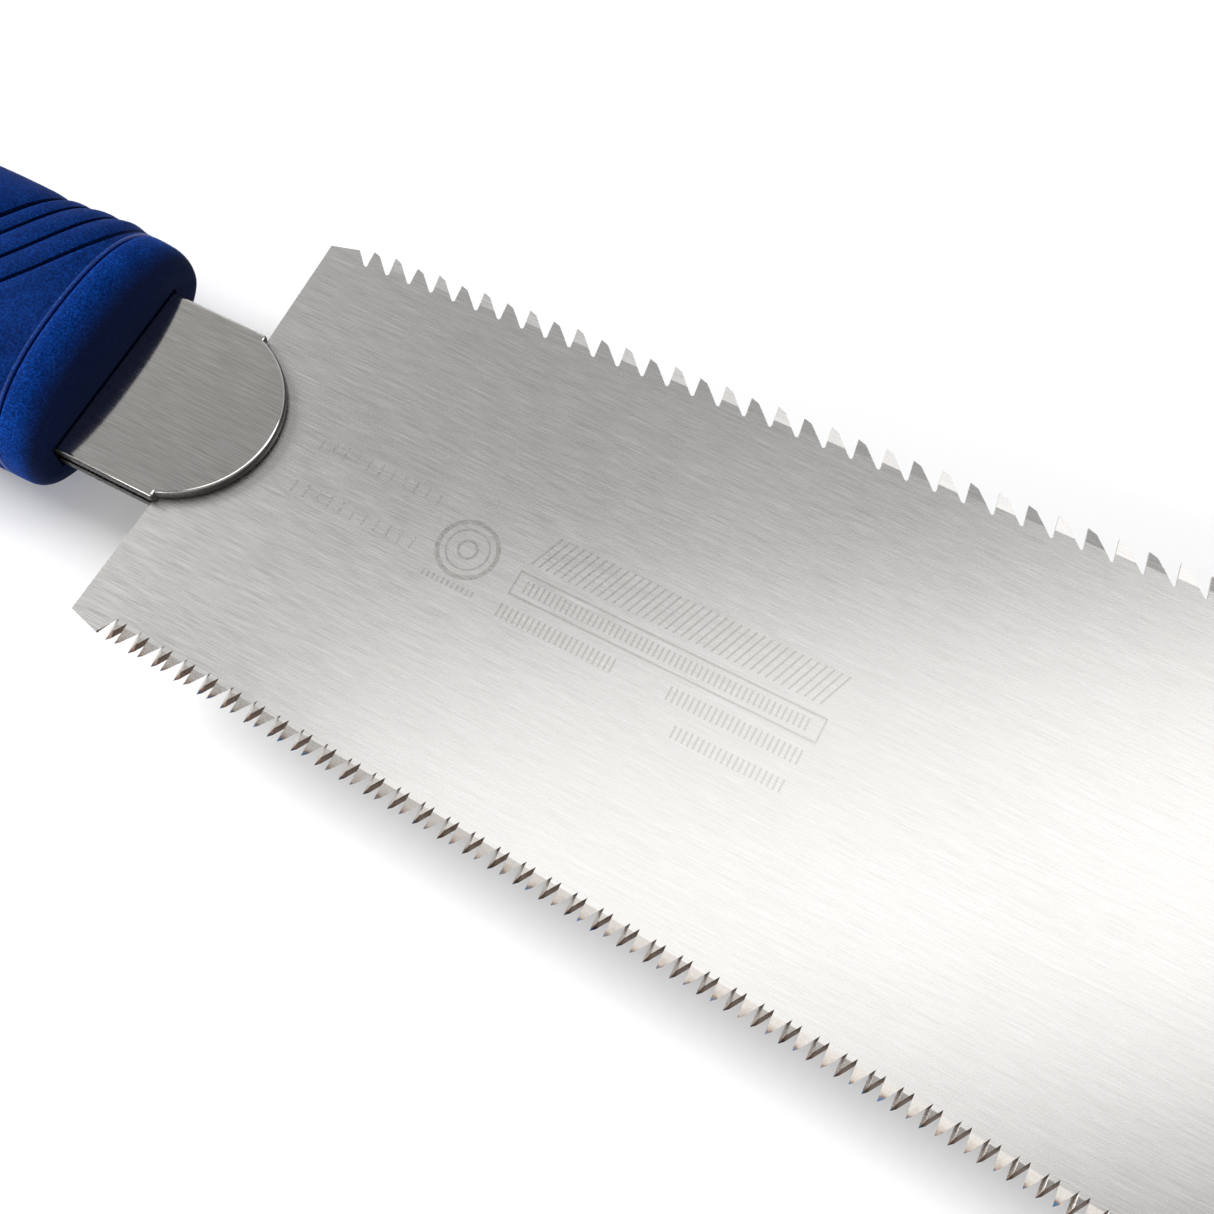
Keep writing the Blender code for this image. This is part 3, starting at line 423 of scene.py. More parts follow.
# Near-black steel for each plate's edge wall and the lower half of its rolled edge: painted shade
JAW_EDGE_PAINTED_SHADE = brushed_steel(
    "jaw_edge_painted_shade", (0.045, 0.044, 0.043), (0.11, 0.107, 0.104), 0.36, (0.0007, 0.0001), 4e-6)
SPRING_STEEL = turned_steel("spring_steel", (0.30, 0.31, 0.34), (0.45, 0.46, 0.50))
FASTENER_STEEL = turned_steel("fastener_steel", (0.45, 0.45, 0.46), (0.66, 0.66, 0.66))
ETCHED = etched("etched_mark", (0.520, 0.505, 0.480), 0.27)
# Faint ticks a little darker than the blade: painted reflection
TICK_REFLECTION = etched("faint_tick_reflection", (0.600, 0.585, 0.565), 0.27)
RUBBER = rubber("blue_rubber")
# Much darker rubber for the faces across each groove's cut: painted shade
RUBBER_CUT_PAINTED_SHADE = rubber("blue_rubber_cut_painted_shade", lightness=0.3)
# Lighter, glossier rubber round the grip's front lip at the seam: painted highlight
RUBBER_LIP_HIGHLIGHT = rubber("blue_rubber_lip_highlight", lightness=2.2, roughness=0.34, specular=0.35)
# The collar's rubber is lighter than the grip's; its front is greyer and darker up to the first
# distance, fading out at the second: painted shade
COLLAR_FRONT_SHADE = (COLLAR_FRONT + 0.0007, COLLAR_FRONT + 0.0025)
RUBBER_COLLAR = rubber("blue_rubber_collar", lightness=1.6, front_shade=COLLAR_FRONT_SHADE)
PLASTIC = moulded_plastic("core_plastic")


# ---- Shape helpers ----

TURNED_POINTS = 48


def link(name, shape):
    """Puts a drawn shape into the scene at the datum."""
    bmesh.ops.recalc_face_normals(shape, faces=shape.faces)
    mesh = bpy.data.meshes.new(name)
    shape.to_mesh(mesh)
    shape.free()
    made = bpy.data.objects.new(name, mesh)
    made.location = DATUM
    bpy.context.scene.collection.objects.link(made)
    return made


def cut(target, shape):
    """Takes a shape away from a piece and leaves nothing of the tool behind."""
    tool = link("tool", shape)
    boolean = target.modifiers.new("cut", "BOOLEAN")
    boolean.solver = "EXACT"
    boolean.object = tool
    graph = bpy.context.evaluated_depsgraph_get()
    mesh = bpy.data.meshes.new_from_object(target.evaluated_get(graph))
    target.modifiers.clear()
    target.data = mesh
    bpy.data.objects.remove(tool)


def paint(piece, finishes):
    """Adds finishes to a piece's material slots, in order."""
    for finish in finishes:
        piece.data.materials.append(finish.material)


def dress(piece, body, node=None, smooth=True):
    """Gives a piece its shading and its place in the model, and hides the CAD node that it stands
    for.
    """
    if smooth:
        piece.data.shade_smooth()
        piece.data.set_sharp_from_angle(angle=SHARP)
    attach(piece, body)
    if node:
        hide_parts(node)


def prism(outline, low, high):
    """An upright solid from an outline of (x, y) points."""
    shape = bmesh.new()
    base = shape.faces.new([shape.verts.new((x, y, low)) for x, y in outline])
    raised = bmesh.ops.extrude_face_region(shape, geom=[base])["geom"]
    corners = [item for item in raised if isinstance(item, bmesh.types.BMVert)]
    bmesh.ops.translate(shape, vec=(0, 0, high - low), verts=corners)
    return shape


def block(front, rear, half_width, low, high, middle=0.0):
    """A box between two distances aft."""
    left, right = middle - half_width, middle + half_width
    corners = ((-rear, left), (-front, left), (-front, right), (-rear, right))
    return prism(corners, low, high)


def arc(centre_x, centre_y, radius, start, end, steps):
    angles = [start + (end - start) * step / steps for step in range(steps + 1)]
    return [(centre_x + radius * cos(angle), centre_y + radius * sin(angle)) for angle in angles]


def circle(aft, side, radius, points=40):
    return arc(-aft, side, radius, 0, 2 * pi, points)[:-1]


def rounded(before, corner, after, radius, steps):
    """The arc that rounds the corner between two straight edges."""
    to_before = (before - corner).normalized()
    to_after = (after - corner).normalized()
    half = to_before.angle(to_after) / 2
    centre = corner + (to_before + to_after).normalized() * radius / sin(half)
    first = corner + to_before * radius / tan(half) - centre
    last = corner + to_after * radius / tan(half) - centre
    start = atan2(first.y, first.x)
    sweep = (atan2(last.y, last.x) - start + pi) % (2 * pi) - pi
    return arc(centre.x, centre.y, radius, start, start + sweep, steps)


def loft(rings, closed=False):
    """Skins a row of rings: capped at both ends, or joined back to the first ring."""
    shape = bmesh.new()
    corners = [[shape.verts.new(point) for point in ring] for ring in rings]
    following = corners[1:] + corners[:1] if closed else corners[1:]
    for ring, after in zip(corners, following):
        for step, corner in enumerate(ring):
            beside = (step + 1) % len(ring)
            shape.faces.new((corner, ring[beside], after[beside], after[step]))
    if not closed:
        shape.faces.new(corners[0])
        shape.faces.new(corners[-1])
    return shape


def turned(profile, aft):
    """A round piece that stands on the handle's axis, from (radius, height) pairs."""
    return loft([
        [(x, y, height) for x, y in circle(aft, 0.0, radius, TURNED_POINTS)]
        for radius, height in profile
    ])


def smooth_value(stations, distance):
    """A smooth curve through (distance, value) stations."""
    inner = stations[1:-1]
    slopes = [0.0]
    for before, after in zip(stations, stations[2:]):
        slopes.append((after[1] - before[1]) / (after[0] - before[0]))
    slopes.append(0.0)
    held = min(max(distance, stations[0][0]), stations[-1][0])
    index = sum(held > station[0] for station in inner)
    (start, low), (end, high) = stations[index:index + 2]
    span = end - start
    share = (held - start) / span
    rise = share * share * (3 - 2 * share)
    leaving = share * (1 - share) ** 2 * slopes[index]
    arriving = share * share * (share - 1) * slopes[index + 1]
    return low + (high - low) * rise + (leaving + arriving) * span


# ---- Blade ----

FACE, WALL, BEVEL, PAINTED_SHADE_BEVEL = range(4)     # material slots of the blade
BEVEL_TURN = 0.2                 # a bevel that turns this far towards the toe gets a darker steel: painted shade
GULLET_STEPS = 6
TOE_STEPS = 28
TOE_CORNER_STEPS = 10
TANG_FILLET_STEPS = 10
SLOT_STEPS = 24


class Rim:
    """A stretch of the blade's outline: points on the upper face over points on the lower one."""

    def __init__(self, wall=WALL):
        self.upper = []
        self.lower = []
        self.middle = []
        self.teeth = []
        self.walls = []
        self.wall = wall

    def add(self, upper, lower):
        self.upper.append(upper)
        self.lower.append(lower)
        self.walls.append(self.wall)

    def add_plain(self, x, y, shift=0.0):
        self.middle.append(len(self.upper))
        self.add((x + shift, y, BLADE_FACE), (x - shift, y, -BLADE_FACE))

    def add_run(self, points):
        for x, y in points:
            self.add_plain(x, y)

    def add_tip(self, upper, lower, slot):
        """One tooth's tip, whose upper and lower faces go in a material slot."""
        first = len(self.upper)
        for above, below in zip(upper, lower):
            self.add(above, below)
        self.teeth.append(((first - 1, first, first + 3, first + 4), FACE))
        self.teeth.append(((first, first + 1, first + 2, first + 3), slot))

    def join(self, other, backwards=False):
        start = len(self.upper)
        last = start + len(other.upper) - 1
        step = -1 if backwards else 1
        moved = (lambda index: last - index) if backwards else (lambda index: start + index)
        self.upper.extend(other.upper[::step])
        self.lower.extend(other.lower[::step])
        self.walls.extend(other.walls[::step])
        self.middle.extend(moved(index) for index in other.middle[::step])
        self.teeth.extend(([moved(index) for index in run], slot) for run, slot in other.teeth)

    def solid(self):
        shape = bmesh.new()
        upper = [shape.verts.new(point) for point in self.upper]
        lower = [shape.verts.new(point) for point in self.lower]
        for layer in (upper, lower):
            for run, slot in [(self.middle, FACE), *self.teeth]:
                shape.faces.new([layer[index] for index in run]).material_index = slot
        for index, corner in enumerate(upper):
            beside = (index + 1) % len(upper)
            wall = shape.faces.new((corner, upper[beside], lower[beside], lower[index]))
            wall.material_index = self.walls[index]
        return shape


def rip_edge(x):
    return RIP_HALF_WIDTH + x * tan(FLARE)


def cross_edge(x):
    return -CROSS_HALF_WIDTH - x * tan(FLARE)


def at_height(start, end, height):
    return start + (end - start) * (height - start.y) / (end.y - start.y)


def rip_teeth():
    """The gullet, tip and shoulder of each rip tooth, and the gullet after the last one."""
    teeth = []
    position = RIP_START
    pitch = RIP_FIRST_PITCH
    while position < TEETH_END:
        depth = RIP_DEPTH * pitch
        gullet = Vector((position, rip_edge(position) - RIP_GULLET_SINK))
        tip = Vector((position - RIP_LEAN * pitch, rip_edge(position) + depth))
        shoulder = tip + Vector((RIP_TOP_LENGTH * pitch, -RIP_TOP_DROP * depth))
        teeth.append((gullet, tip, shoulder))
        position += pitch
        pitch += RIP_PITCH_GROWTH
    return teeth, Vector((position, rip_edge(position) - RIP_GULLET_SINK))


def rip_rim():
    rim = Rim()
    teeth, last_gullet = rip_teeth()
    before = Vector((RIP_START - RIP_PLAIN_STEP, rip_edge(0) + RIP_PLAIN_RISE))
    rim.add_plain(-HEEL_SWEEP, rip_edge(0) + RIP_HEEL_RISE)
    rim.add_plain(*before)
    gullets = [tooth[0] for tooth in teeth] + [last_gullet]
    for number, (gullet, tip, shoulder) in enumerate(teeth):
        rim.add_run(rounded(before, gullet, tip, RIP_GULLET_RADIUS, GULLET_STEPS))
        root = rip_edge(gullet.x)
        bend = root + RIP_BEND * (tip.y - root)
        front = at_height(gullet, tip, bend)
        back = at_height(shoulder, gullets[number + 1], bend)
        corners = (front, tip, shoulder, back)
        side = 1 if number % 2 else -1
        lifts = [side * RIP_SET * (corner.y - bend) / (tip.y - bend) for corner in corners]
        upper = [(*corner, lift + BLADE_FACE) for corner, lift in zip(corners, lifts)]
        lower = [(*corner, lift - BLADE_FACE) for corner, lift in zip(corners, lifts)]
        rim.add_tip(upper, lower, FACE)
        before = shoulder
    plain = Vector((last_gullet.x + TOE_STEP, rip_edge(last_gullet.x) + TOE_RISE))
    rim.add_run(rounded(before, last_gullet, plain, RIP_GULLET_RADIUS, GULLET_STEPS))
    rim.add_plain(*plain)
    return rim


def cross_face(front, back, outer, side):
    """One face of a crosscut tooth, between its gullets: outer where the tooth leans out."""
    meeting = (back - front) / (CROSS_FRONT_LEAN + CROSS_BACK_LEAN)
    tip = CROSS_DEPTH if outer else CROSS_INNER_TIP * meeting
    shoulder = CROSS_TOP * CROSS_DEPTH if outer else CROSS_INNER_SHOULDER * meeting
    heights = (CROSS_BEND, tip, shoulder, CROSS_BEND)
    places = [front + CROSS_FRONT_LEAN * height for height in heights[:2]]
    places += [back - CROSS_BACK_LEAN * height for height in heights[2:]]
    span = CROSS_DEPTH - CROSS_BEND
    lifts = [side * CROSS_SET * (height - CROSS_BEND) / span for height in heights]
    return [(x, cross_edge(x) - height, lift) for x, height, lift in zip(places, heights, lifts)]


def cross_rim():
    rim = Rim(BEVEL)
    spread = BLADE_FACE * tan(CROSS_FILE_ANGLE)
    rim.add_plain(-HEEL_SWEEP, cross_edge(0) - CROSS_HEEL_RISE)
    rim.add_plain(CROSS_START - CROSS_PLAIN_STEP, cross_edge(0) - CROSS_PLAIN_RISE)
    count = int((TEETH_END - CROSS_START) / CROSS_PITCH)
    for number in range(count):
        side = 1 if number % 2 else -1
        front = CROSS_START + number * CROSS_PITCH
        back = front + CROSS_PITCH
        shift = -side * spread
        rim.add_plain(front, cross_edge(front), shift)
        upper = cross_face(front + shift, back - shift, side > 0, side)
        lower = cross_face(front - shift, back + shift, side < 0, side)
        rim.add_tip(
            [(x, y, lift + BLADE_FACE) for x, y, lift in upper],
            [(x, y, lift - BLADE_FACE) for x, y, lift in lower],
            BEVEL,
        )
    rim.add_plain(back, cross_edge(back), -shift)
    rim.add_plain(back + TOE_STEP, cross_edge(back) - TOE_RISE)
    return rim


def toe_rim():
    rim = Rim()
    low = Vector((BLADE_LENGTH, cross_edge(BLADE_LENGTH) - TOE_RISE))
    high = Vector((BLADE_LENGTH, rip_edge(BLADE_LENGTH) + TOE_RISE))
    half_chord = (high - low).length / 2
    radius = (half_chord ** 2 + TOE_BULGE ** 2) / (2 * TOE_BULGE)
    centre = Vector((BLADE_LENGTH + TOE_BULGE - radius, (low.y + high.y) / 2))
    reach = atan2(half_chord, radius - TOE_BULGE)
    sweep = [Vector(point) for point in arc(centre.x, centre.y, radius, -reach, reach, TOE_STEPS)]
    edge = Vector((-1, 0))
    rim.add_run(rounded(low + edge, low, sweep[2], TOE_CORNER_RADIUS, TOE_CORNER_STEPS))
    rim.add_run(sweep[2:-2])
    rim.add_run(rounded(sweep[-3], high, high + edge, TOE_CORNER_RADIUS, TOE_CORNER_STEPS))
    return rim


def tang_rim():
    fillet_side = TANG_HALF_WIDTH + TANG_FILLET
    upper_half = arc(-TANG_FILLET, fillet_side, TANG_FILLET, 0, -pi / 2, TANG_FILLET_STEPS)
    upper_half += [
        (-TANG_LENGTH + TANG_CHAMFER, TANG_HALF_WIDTH),
        (-TANG_LENGTH, TANG_HALF_WIDTH - TANG_CHAMFER),
        (-TANG_LENGTH, SLOT_HALF_WIDTH + SLOT_MOUTH),
        (-TANG_LENGTH + 2 * SLOT_MOUTH, SLOT_HALF_WIDTH),
    ]
    slot_end = arc(-STOP_PIN_AFT, 0, SLOT_HALF_WIDTH, pi / 2, -pi / 2, SLOT_STEPS)
    rim = Rim()
    rim.add_run(upper_half + slot_end + [(x, -y) for x, y in reversed(upper_half)])
    return rim


def build_blade():
    rim = cross_rim()
    rim.join(toe_rim())
    rim.join(rip_rim(), backwards=True)
    rim.join(tang_rim())
    blade = link("blade_ground", rim.solid())
    paint(blade, (BLADE_STEEL, EDGE_STEEL, CROSS_STEEL, CROSS_PAINTED_SHADE))
    # Bevels turned towards the toe take the darker copy of the crosscut steel: painted shade
    for face in blade.data.polygons:
        if face.material_index == BEVEL and face.normal.x > BEVEL_TURN:
            face.material_index = PAINTED_SHADE_BEVEL
    dress(blade, "blade", "saw_blade", smooth=False)


# ---- Etched marks: plain rings, bands of even hatching and a long frame; faint ticks of painted reflection ----

MARK_LIFT = 0.000012
STROKE = 0.00022                 # width of an etched line
RING_STEPS = 64
MARK_MIDDLE = (RIP_HALF_WIDTH - CROSS_HALF_WIDTH) / 2     # half-way between the two rows of teeth
RING_PLACE = (0.0334, -0.0009)
RING_RADII = ((0.0031, 0.0036), (0.0023, 0.0025), (0.0009, 0.0012))
FRAME_X = (0.0397, 0.0760)
FRAME_Y = (-0.0034, -0.0003)
# x range, y range, spacing and slant of each band of even strokes
BANDS_OF_HATCHING = (
    ((0.0402, 0.0768), (0.0008, 0.0050), 0.00090, 0.0016),
    ((0.0410, 0.0748), (-0.0026, -0.0011), 0.00065, 0.0),
    ((0.0397, 0.0537), (-0.0063, -0.0046), 0.00065, 0.0),
    ((0.0600, 0.0756), (-0.0063, -0.0046), 0.00065, 0.0),
    ((0.0623, 0.0754), (-0.0098, -0.0083), 0.00065, 0.0),
    ((0.0303, 0.0366), (-0.0057, -0.0050), 0.00060, 0.0),
)
# Two rows of faint ticks at the crosscut teeth's pitch: painted reflection
TICKS_X = (0.0125, 0.0290)
TICKS_Y = (0.0022, 0.0038)


def add_bar(shape, x_range, y_range, slant=0.0):
    (left, right), (low, high) = x_range, y_range
    z = BLADE_FACE + MARK_LIFT
    corners = ((left, low), (right, low), (right + slant, high), (left + slant, high))
    shape.faces.new([shape.verts.new((x, y + MARK_MIDDLE, z)) for x, y in corners])


def add_ring(shape, place, inner, outer):
    x, y = place
    z = BLADE_FACE + MARK_LIFT
    rows = []
    for radius in (inner, outer):
        rim = arc(x, y + MARK_MIDDLE, radius, 0, 2 * pi, RING_STEPS)[:-1]
        rows.append([shape.verts.new((across, up, z)) for across, up in rim])
    for step in range(RING_STEPS):
        beside = (step + 1) % RING_STEPS
        shape.faces.new((rows[0][step], rows[1][step], rows[1][beside], rows[0][beside]))


def add_frame(shape, x_range, y_range):
    (left, right), (low, high) = x_range, y_range
    add_bar(shape, x_range, (low, low + STROKE))
    add_bar(shape, x_range, (high - STROKE, high))
    add_bar(shape, (left, left + STROKE), (low + STROKE, high - STROKE))
    add_bar(shape, (right - STROKE, right), (low + STROKE, high - STROKE))


def add_hatching(shape, x_range, y_range, spacing, slant=0.0):
    """Even parallel strokes, all of one length."""
    start, end = x_range
    count = int((end - start - STROKE - slant) / spacing) + 1
    for number in range(count):
        x = start + number * spacing
        add_bar(shape, (x, x + STROKE), y_range, slant)


def build_marks():
    mark = bmesh.new()
    for inner, outer in RING_RADII:
        add_ring(mark, RING_PLACE, inner, outer)
    add_frame(mark, FRAME_X, FRAME_Y)
    for band in BANDS_OF_HATCHING:
        add_hatching(mark, *band)
    marks = link("etched_marks", mark)
    paint(marks, (ETCHED,))
    dress(marks, "blade", smooth=False)
    # The faint ticks: painted reflection, in a finish just darker than the blade
    faint = bmesh.new()
    low, high = TICKS_Y
    add_hatching(faint, TICKS_X, (low, high), CROSS_PITCH)
    add_hatching(faint, TICKS_X, (-high, -low), CROSS_PITCH)
    scale = link("reflected_ticks", faint)
    paint(scale, (TICK_REFLECTION,))
    dress(scale, "blade", smooth=False)


# ---- Jaw ----

PAINTED_SHADE_EDGE = 1                      # material slot of the plate's edge wall and the lower half of its roll, near-black: painted shade; 0 is the rest of it
WALL_BANDS = 6                   # bands of faces from the plate's inner face up its edge wall and the lower half of its roll
TONGUE_STEPS = 40
TONGUE_MARGIN = radians(2)       # the tongue's arc stops this far short of the shoulder line
FILLET_STEPS = 5
SHOULDER_STEPS = 6
ROLL_STEPS = 7
FACE_MARGIN = 0.00003            # from the end of the rolled edge to the rim of the flat face
HOLE_POINTS = 24


def plate_ring(inset, height):
    """The plate's outline, drawn in by an inset: square back, a step, shoulders, a round tongue."""
    half = JAW_HALF_WIDTH - inset
    radius = TONGUE_RADIUS - inset
    front = JAW_SHOULDER - inset
    root = (radius ** 2 - (front - TONGUE_CENTRE) ** 2) ** 0.5
    turn = atan2(root, front - TONGUE_CENTRE) - TONGUE_MARGIN
    tongue = [Vector(point) for point in arc(TONGUE_CENTRE, 0, radius, 0, turn, TONGUE_STEPS)]
    back = Vector((-JAW_REAR + inset, half))
    shoulder = Vector((front, half))
    corner = Vector((front, root))
    fillet = SHOULDER_FILLET + inset / 2
    inward = rounded(tongue[-1], corner, shoulder, fillet, FILLET_STEPS)
    outward = rounded(corner, shoulder, back, SHOULDER_RADIUS - inset, SHOULDER_STEPS)
    side = tongue + [Vector(point) for point in inward + outward]
    rear_side = inset - JAW_REAR_HALF_WIDTH
    outline = [(p.x, JAW_OFFSET + p.y) for p in side]
    outline += [(back.x, -rear_side), (back.x, rear_side), (inset - JAW_STEP_AFT, rear_side)]
    outline.append((inset - JAW_STEP_AFT, JAW_OFFSET - half))
    outline += [(p.x, JAW_OFFSET - p.y) for p in reversed(side[1:])]
    return [(x, y, height) for x, y in outline]


def plate_rings(inner, outer):
    """Rings from the plate's inner face to its outer one, whose edge is rolled."""
    up = copysign(1, outer - inner)
    rings = [plate_ring(PLATE_INNER_ROLL, inner), plate_ring(0, inner + up * PLATE_INNER_ROLL)]
    for step in range(ROLL_STEPS + 1):
        angle = pi / 2 * step / ROLL_STEPS
        height = outer - up * PLATE_ROLL * (1 - sin(angle))
        rings.append(plate_ring(PLATE_ROLL * (1 - cos(angle)), height))
    rings.append(plate_ring(PLATE_ROLL + FACE_MARGIN, outer))
    return rings


def build_plate(name, node, side):
    inner, outer = side * PLATE_INNER, side * PLATE_OUTER
    plate = link(name, loft(plate_rings(inner, outer)))
    paint(plate, (JAW_STEEL, JAW_EDGE_PAINTED_SHADE))
    around = len(plate_ring(0, 0))
    # The first bands, the edge wall and the lower half of the roll, take the near-black steel:
    # painted shade
    for face in plate.data.polygons[:WALL_BANDS * around]:
        face.material_index = PAINTED_SHADE_EDGE
    low, high = sorted((inner - side * GAP / 2, outer + side * GAP))
    holes = [(STOP_PIN_AFT, 0, STOP_PIN_RADIUS), (SPRING_RIVET_AFT, 0, RIVET_RADIUS)]
    holes += [(aft, place * RIVET_SIDE, RIVET_RADIUS) for aft in RIVET_AFT for place in (1, -1)]
    holes += [(ANCHOR_AFT, place * ANCHOR_SIDE, ANCHOR_RADIUS) for place in (1, -1)]
    for aft, across, radius in holes:
        cut(plate, prism(circle(aft, across, radius + GAP, HOLE_POINTS), low, high))
    if side < 0:
        cut(plate, block(WINDOW_FRONT, WINDOW_REAR, WINDOW_HALF_WIDTH, low, high))
    dress(plate, "handle", node)


# ---- Handle ----

GRIP_LIP_HIGHLIGHT, GRIP_CUT_SHADE = 1, 2        # material slots of the grip: the lip's is a painted highlight, the cut's a painted shade; 0 is the rest of it
LIP_STEPS = 4
COLLAR_STEPS = 24
COLLAR_EASE = 0.3                # of LIP, the small bevel between the collar's seam face and side
BUTT_STEPS = 18
MOUTH_STEPS = 8
MOUTH_REACH = 1.4                # of the flare, how far the hole's tool opens past the face
DISH_RINGS = 4                   # rings of a dish ahead of the cut
CUT_BANDS = 4                    # bands of faces across the cut
BETWEEN_BANDS = (0.25, 0.5, 0.75)    # where rings stand on the plain stretch between two bands


def oval(angle, half_width, half_height, power=SECTION_POWER, flat=REST_HEIGHT):
    """A point on a squarish oval that is cut off flat below."""
    across, up = cos(angle), sin(angle)
    y = half_width * copysign(abs(across) ** (2 / power), across)
    z = half_height * copysign(abs(up) ** (2 / power), up)
    return y, max(z, -flat)


def ring(aft, half_width, half_height, power=SECTION_POWER, flat=REST_HEIGHT):
    turn = [2 * pi * step / RING_POINTS for step in range(RING_POINTS)]
    return [(-aft, *oval(angle, half_width, half_height, power, flat)) for angle in turn]


def handle_ring(aft, inset=0.0):
    half_width = smooth_value(HALF_WIDTHS, aft) - inset
    half_height = smooth_value(HALF_HEIGHTS, aft) - inset
    return ring(aft, half_width, half_height, flat=REST_HEIGHT - max(inset, 0))


def lip_rings(edge, inward):
    """Rings that round an edge of the handle, from its face towards the middle of the piece."""
    rings = []
    for step in range(LIP_STEPS + 1):
        angle = pi / 2 * step / LIP_STEPS
        rings.append(handle_ring(edge + inward * LIP * (1 - cos(angle)), LIP * (1 - sin(angle))))
    return rings


def slanted_ring(aft, order, depth):
    """A section that runs along a curved groove; near the collar it closes up."""
    limit = SEAM + GAP + 2 * LIP + order * RING_CROWDING
    swell = BAND_SWELL * abs(sin(pi * (aft - FIRST_VALLEY) / BAND_PITCH))
    points = []
    for step in range(RING_POINTS):
        angle = 2 * pi * step / RING_POINTS
        y = oval(angle, smooth_value(HALF_WIDTHS, aft), 1)[0]
        place = max(aft - y * (GROOVE_SLANT - GROOVE_CURVE * abs(y)), limit)
        inset = (depth - swell) * min((place - limit) / GROOVE_FADE, 1)
        half_width = smooth_value(HALF_WIDTHS, place) - inset
        half_height = smooth_value(HALF_HEIGHTS, place) - inset
        flat = REST_HEIGHT - max(inset, 0)
        points.append((-place, *oval(angle, half_width, half_height, flat=flat)))
    return points


def groove_rings(aft, depth, cut_width, dishes, order):
    """A sharp cut with a shallow dish ahead of it and another behind."""
    places = []
    for side, dish in zip((-1, 1), dishes):
        reaches = [
            cut_width + part / DISH_RINGS * (dish - cut_width) for part in range(DISH_RINGS + 1)]
        reaches.append(cut_width / 2)
        places += [(side * reach, (1 - CUT_SHARE) * (1 - reach / dish) ** 2) for reach in reaches]
    places.append((0.0, 1 - CUT_SHARE))
    rings = []
    for offset, dish_share in sorted(places):
        share = dish_share + CUT_SHARE * max(1 - abs(offset) / cut_width, 0)
        rings.append(slanted_ring(aft + offset, order + len(rings), depth * share))
    return rings


def build_grip():
    rings = lip_rings(SEAM + GAP, 1)
    lip_faces = (len(rings) - 1) * RING_POINTS
    cuts = []
    for band in range(BANDS):
        valley = FIRST_VALLEY + band * BAND_PITCH
        if band:
            previous = valley - BAND_PITCH + VALLEY_DISH
            first = valley - VALLEY_LEAD - (THIN_GROOVES - 1) * GROOVE_PITCH - GROOVE_DISH
            for share in BETWEEN_BANDS:
                rings.append(slanted_ring(previous + share * (first - previous), len(rings), 0))
        for number in reversed(range(THIN_GROOVES)):
            aft = valley - VALLEY_LEAD - number * GROOVE_PITCH
            cuts.append(len(rings) + DISH_RINGS)
            dishes = GROOVE_DISH, GROOVE_DISH
            rings += groove_rings(aft, GROOVE_DEPTH, GROOVE_CUT, dishes, len(rings))
        dishes = VALLEY_LEAD - GROOVE_DISH, VALLEY_DISH
        cuts.append(len(rings) + DISH_RINGS)
        rings += groove_rings(valley, VALLEY_DEPTH, VALLEY_CUT, dishes, len(rings))
    rings += lip_rings(GRIP_END, -1)[::-1]
    stations = (GRIP_END, *reversed(INSIDE_STATIONS), SEAM + GAP)
    inside = [handle_ring(aft, GRIP_WALL) for aft in stations]
    grip = link("grip_moulded", loft(rings + inside, closed=True))
    paint(grip, (RUBBER, RUBBER_LIP_HIGHLIGHT, RUBBER_CUT_PAINTED_SHADE))
    dress(grip, "handle", "grip_sleeve")
    # The grip's front lip takes the lighter rubber: painted highlight
    for face in grip.data.polygons[:lip_faces]:
        face.material_index = GRIP_LIP_HIGHLIGHT
    # Faces across each groove's cut take the darker rubber: painted shade
    for start in cuts:
        for face in grip.data.polygons[start * RING_POINTS:(start + CUT_BANDS) * RING_POINTS]:
            face.material_index = GRIP_CUT_SHADE


def rounding(aft, length):
    """Share of a quarter-round's drop at a distance aft of the collar's front."""
    reach = max(1 - (aft - COLLAR_FRONT) / length, 0)
    return 1 - (1 - reach * reach) ** 0.5


def collar_ring(aft, inset=0.0):
    side_drop = COLLAR_SIDE_DROP * rounding(aft, COLLAR_SIDE_LENGTH)
    top_drop = COLLAR_TOP_DROP * rounding(aft, COLLAR_TOP_LENGTH)
    half_width = smooth_value(HALF_WIDTHS, SEAM) - side_drop
    half_height = smooth_value(HALF_HEIGHTS, SEAM) - top_drop
    return ring(aft, half_width - inset, half_height - inset)


def build_collar():
    ease = COLLAR_EASE * LIP
    rings = [collar_ring(SEAM, LIP), collar_ring(SEAM - ease, ease)]
    span = SEAM - LIP - COLLAR_FRONT
    for step in range(COLLAR_STEPS + 1):
        rings.append(collar_ring(COLLAR_FRONT + span * (1 - sin(pi / 2 * step / COLLAR_STEPS))))
    collar = link("collar_moulded", loft(rings))
    paint(collar, (RUBBER_COLLAR,))
    cut(collar, loft([
        ring(aft, NOSE_HALF_WIDTH + GAP, NOSE_HALF_HEIGHT + GAP, NOSE_POWER)
        for aft in (NOSE_FRONT - GAP, SEAM + NOSE_FRONT)
    ]))
    room = PLATE_OUTER + GAP
    cut(collar, block(0, NOSE_FRONT, JAW_HALF_WIDTH + GAP, -room, room, JAW_OFFSET))
    dress(collar, "handle", "front_collar")


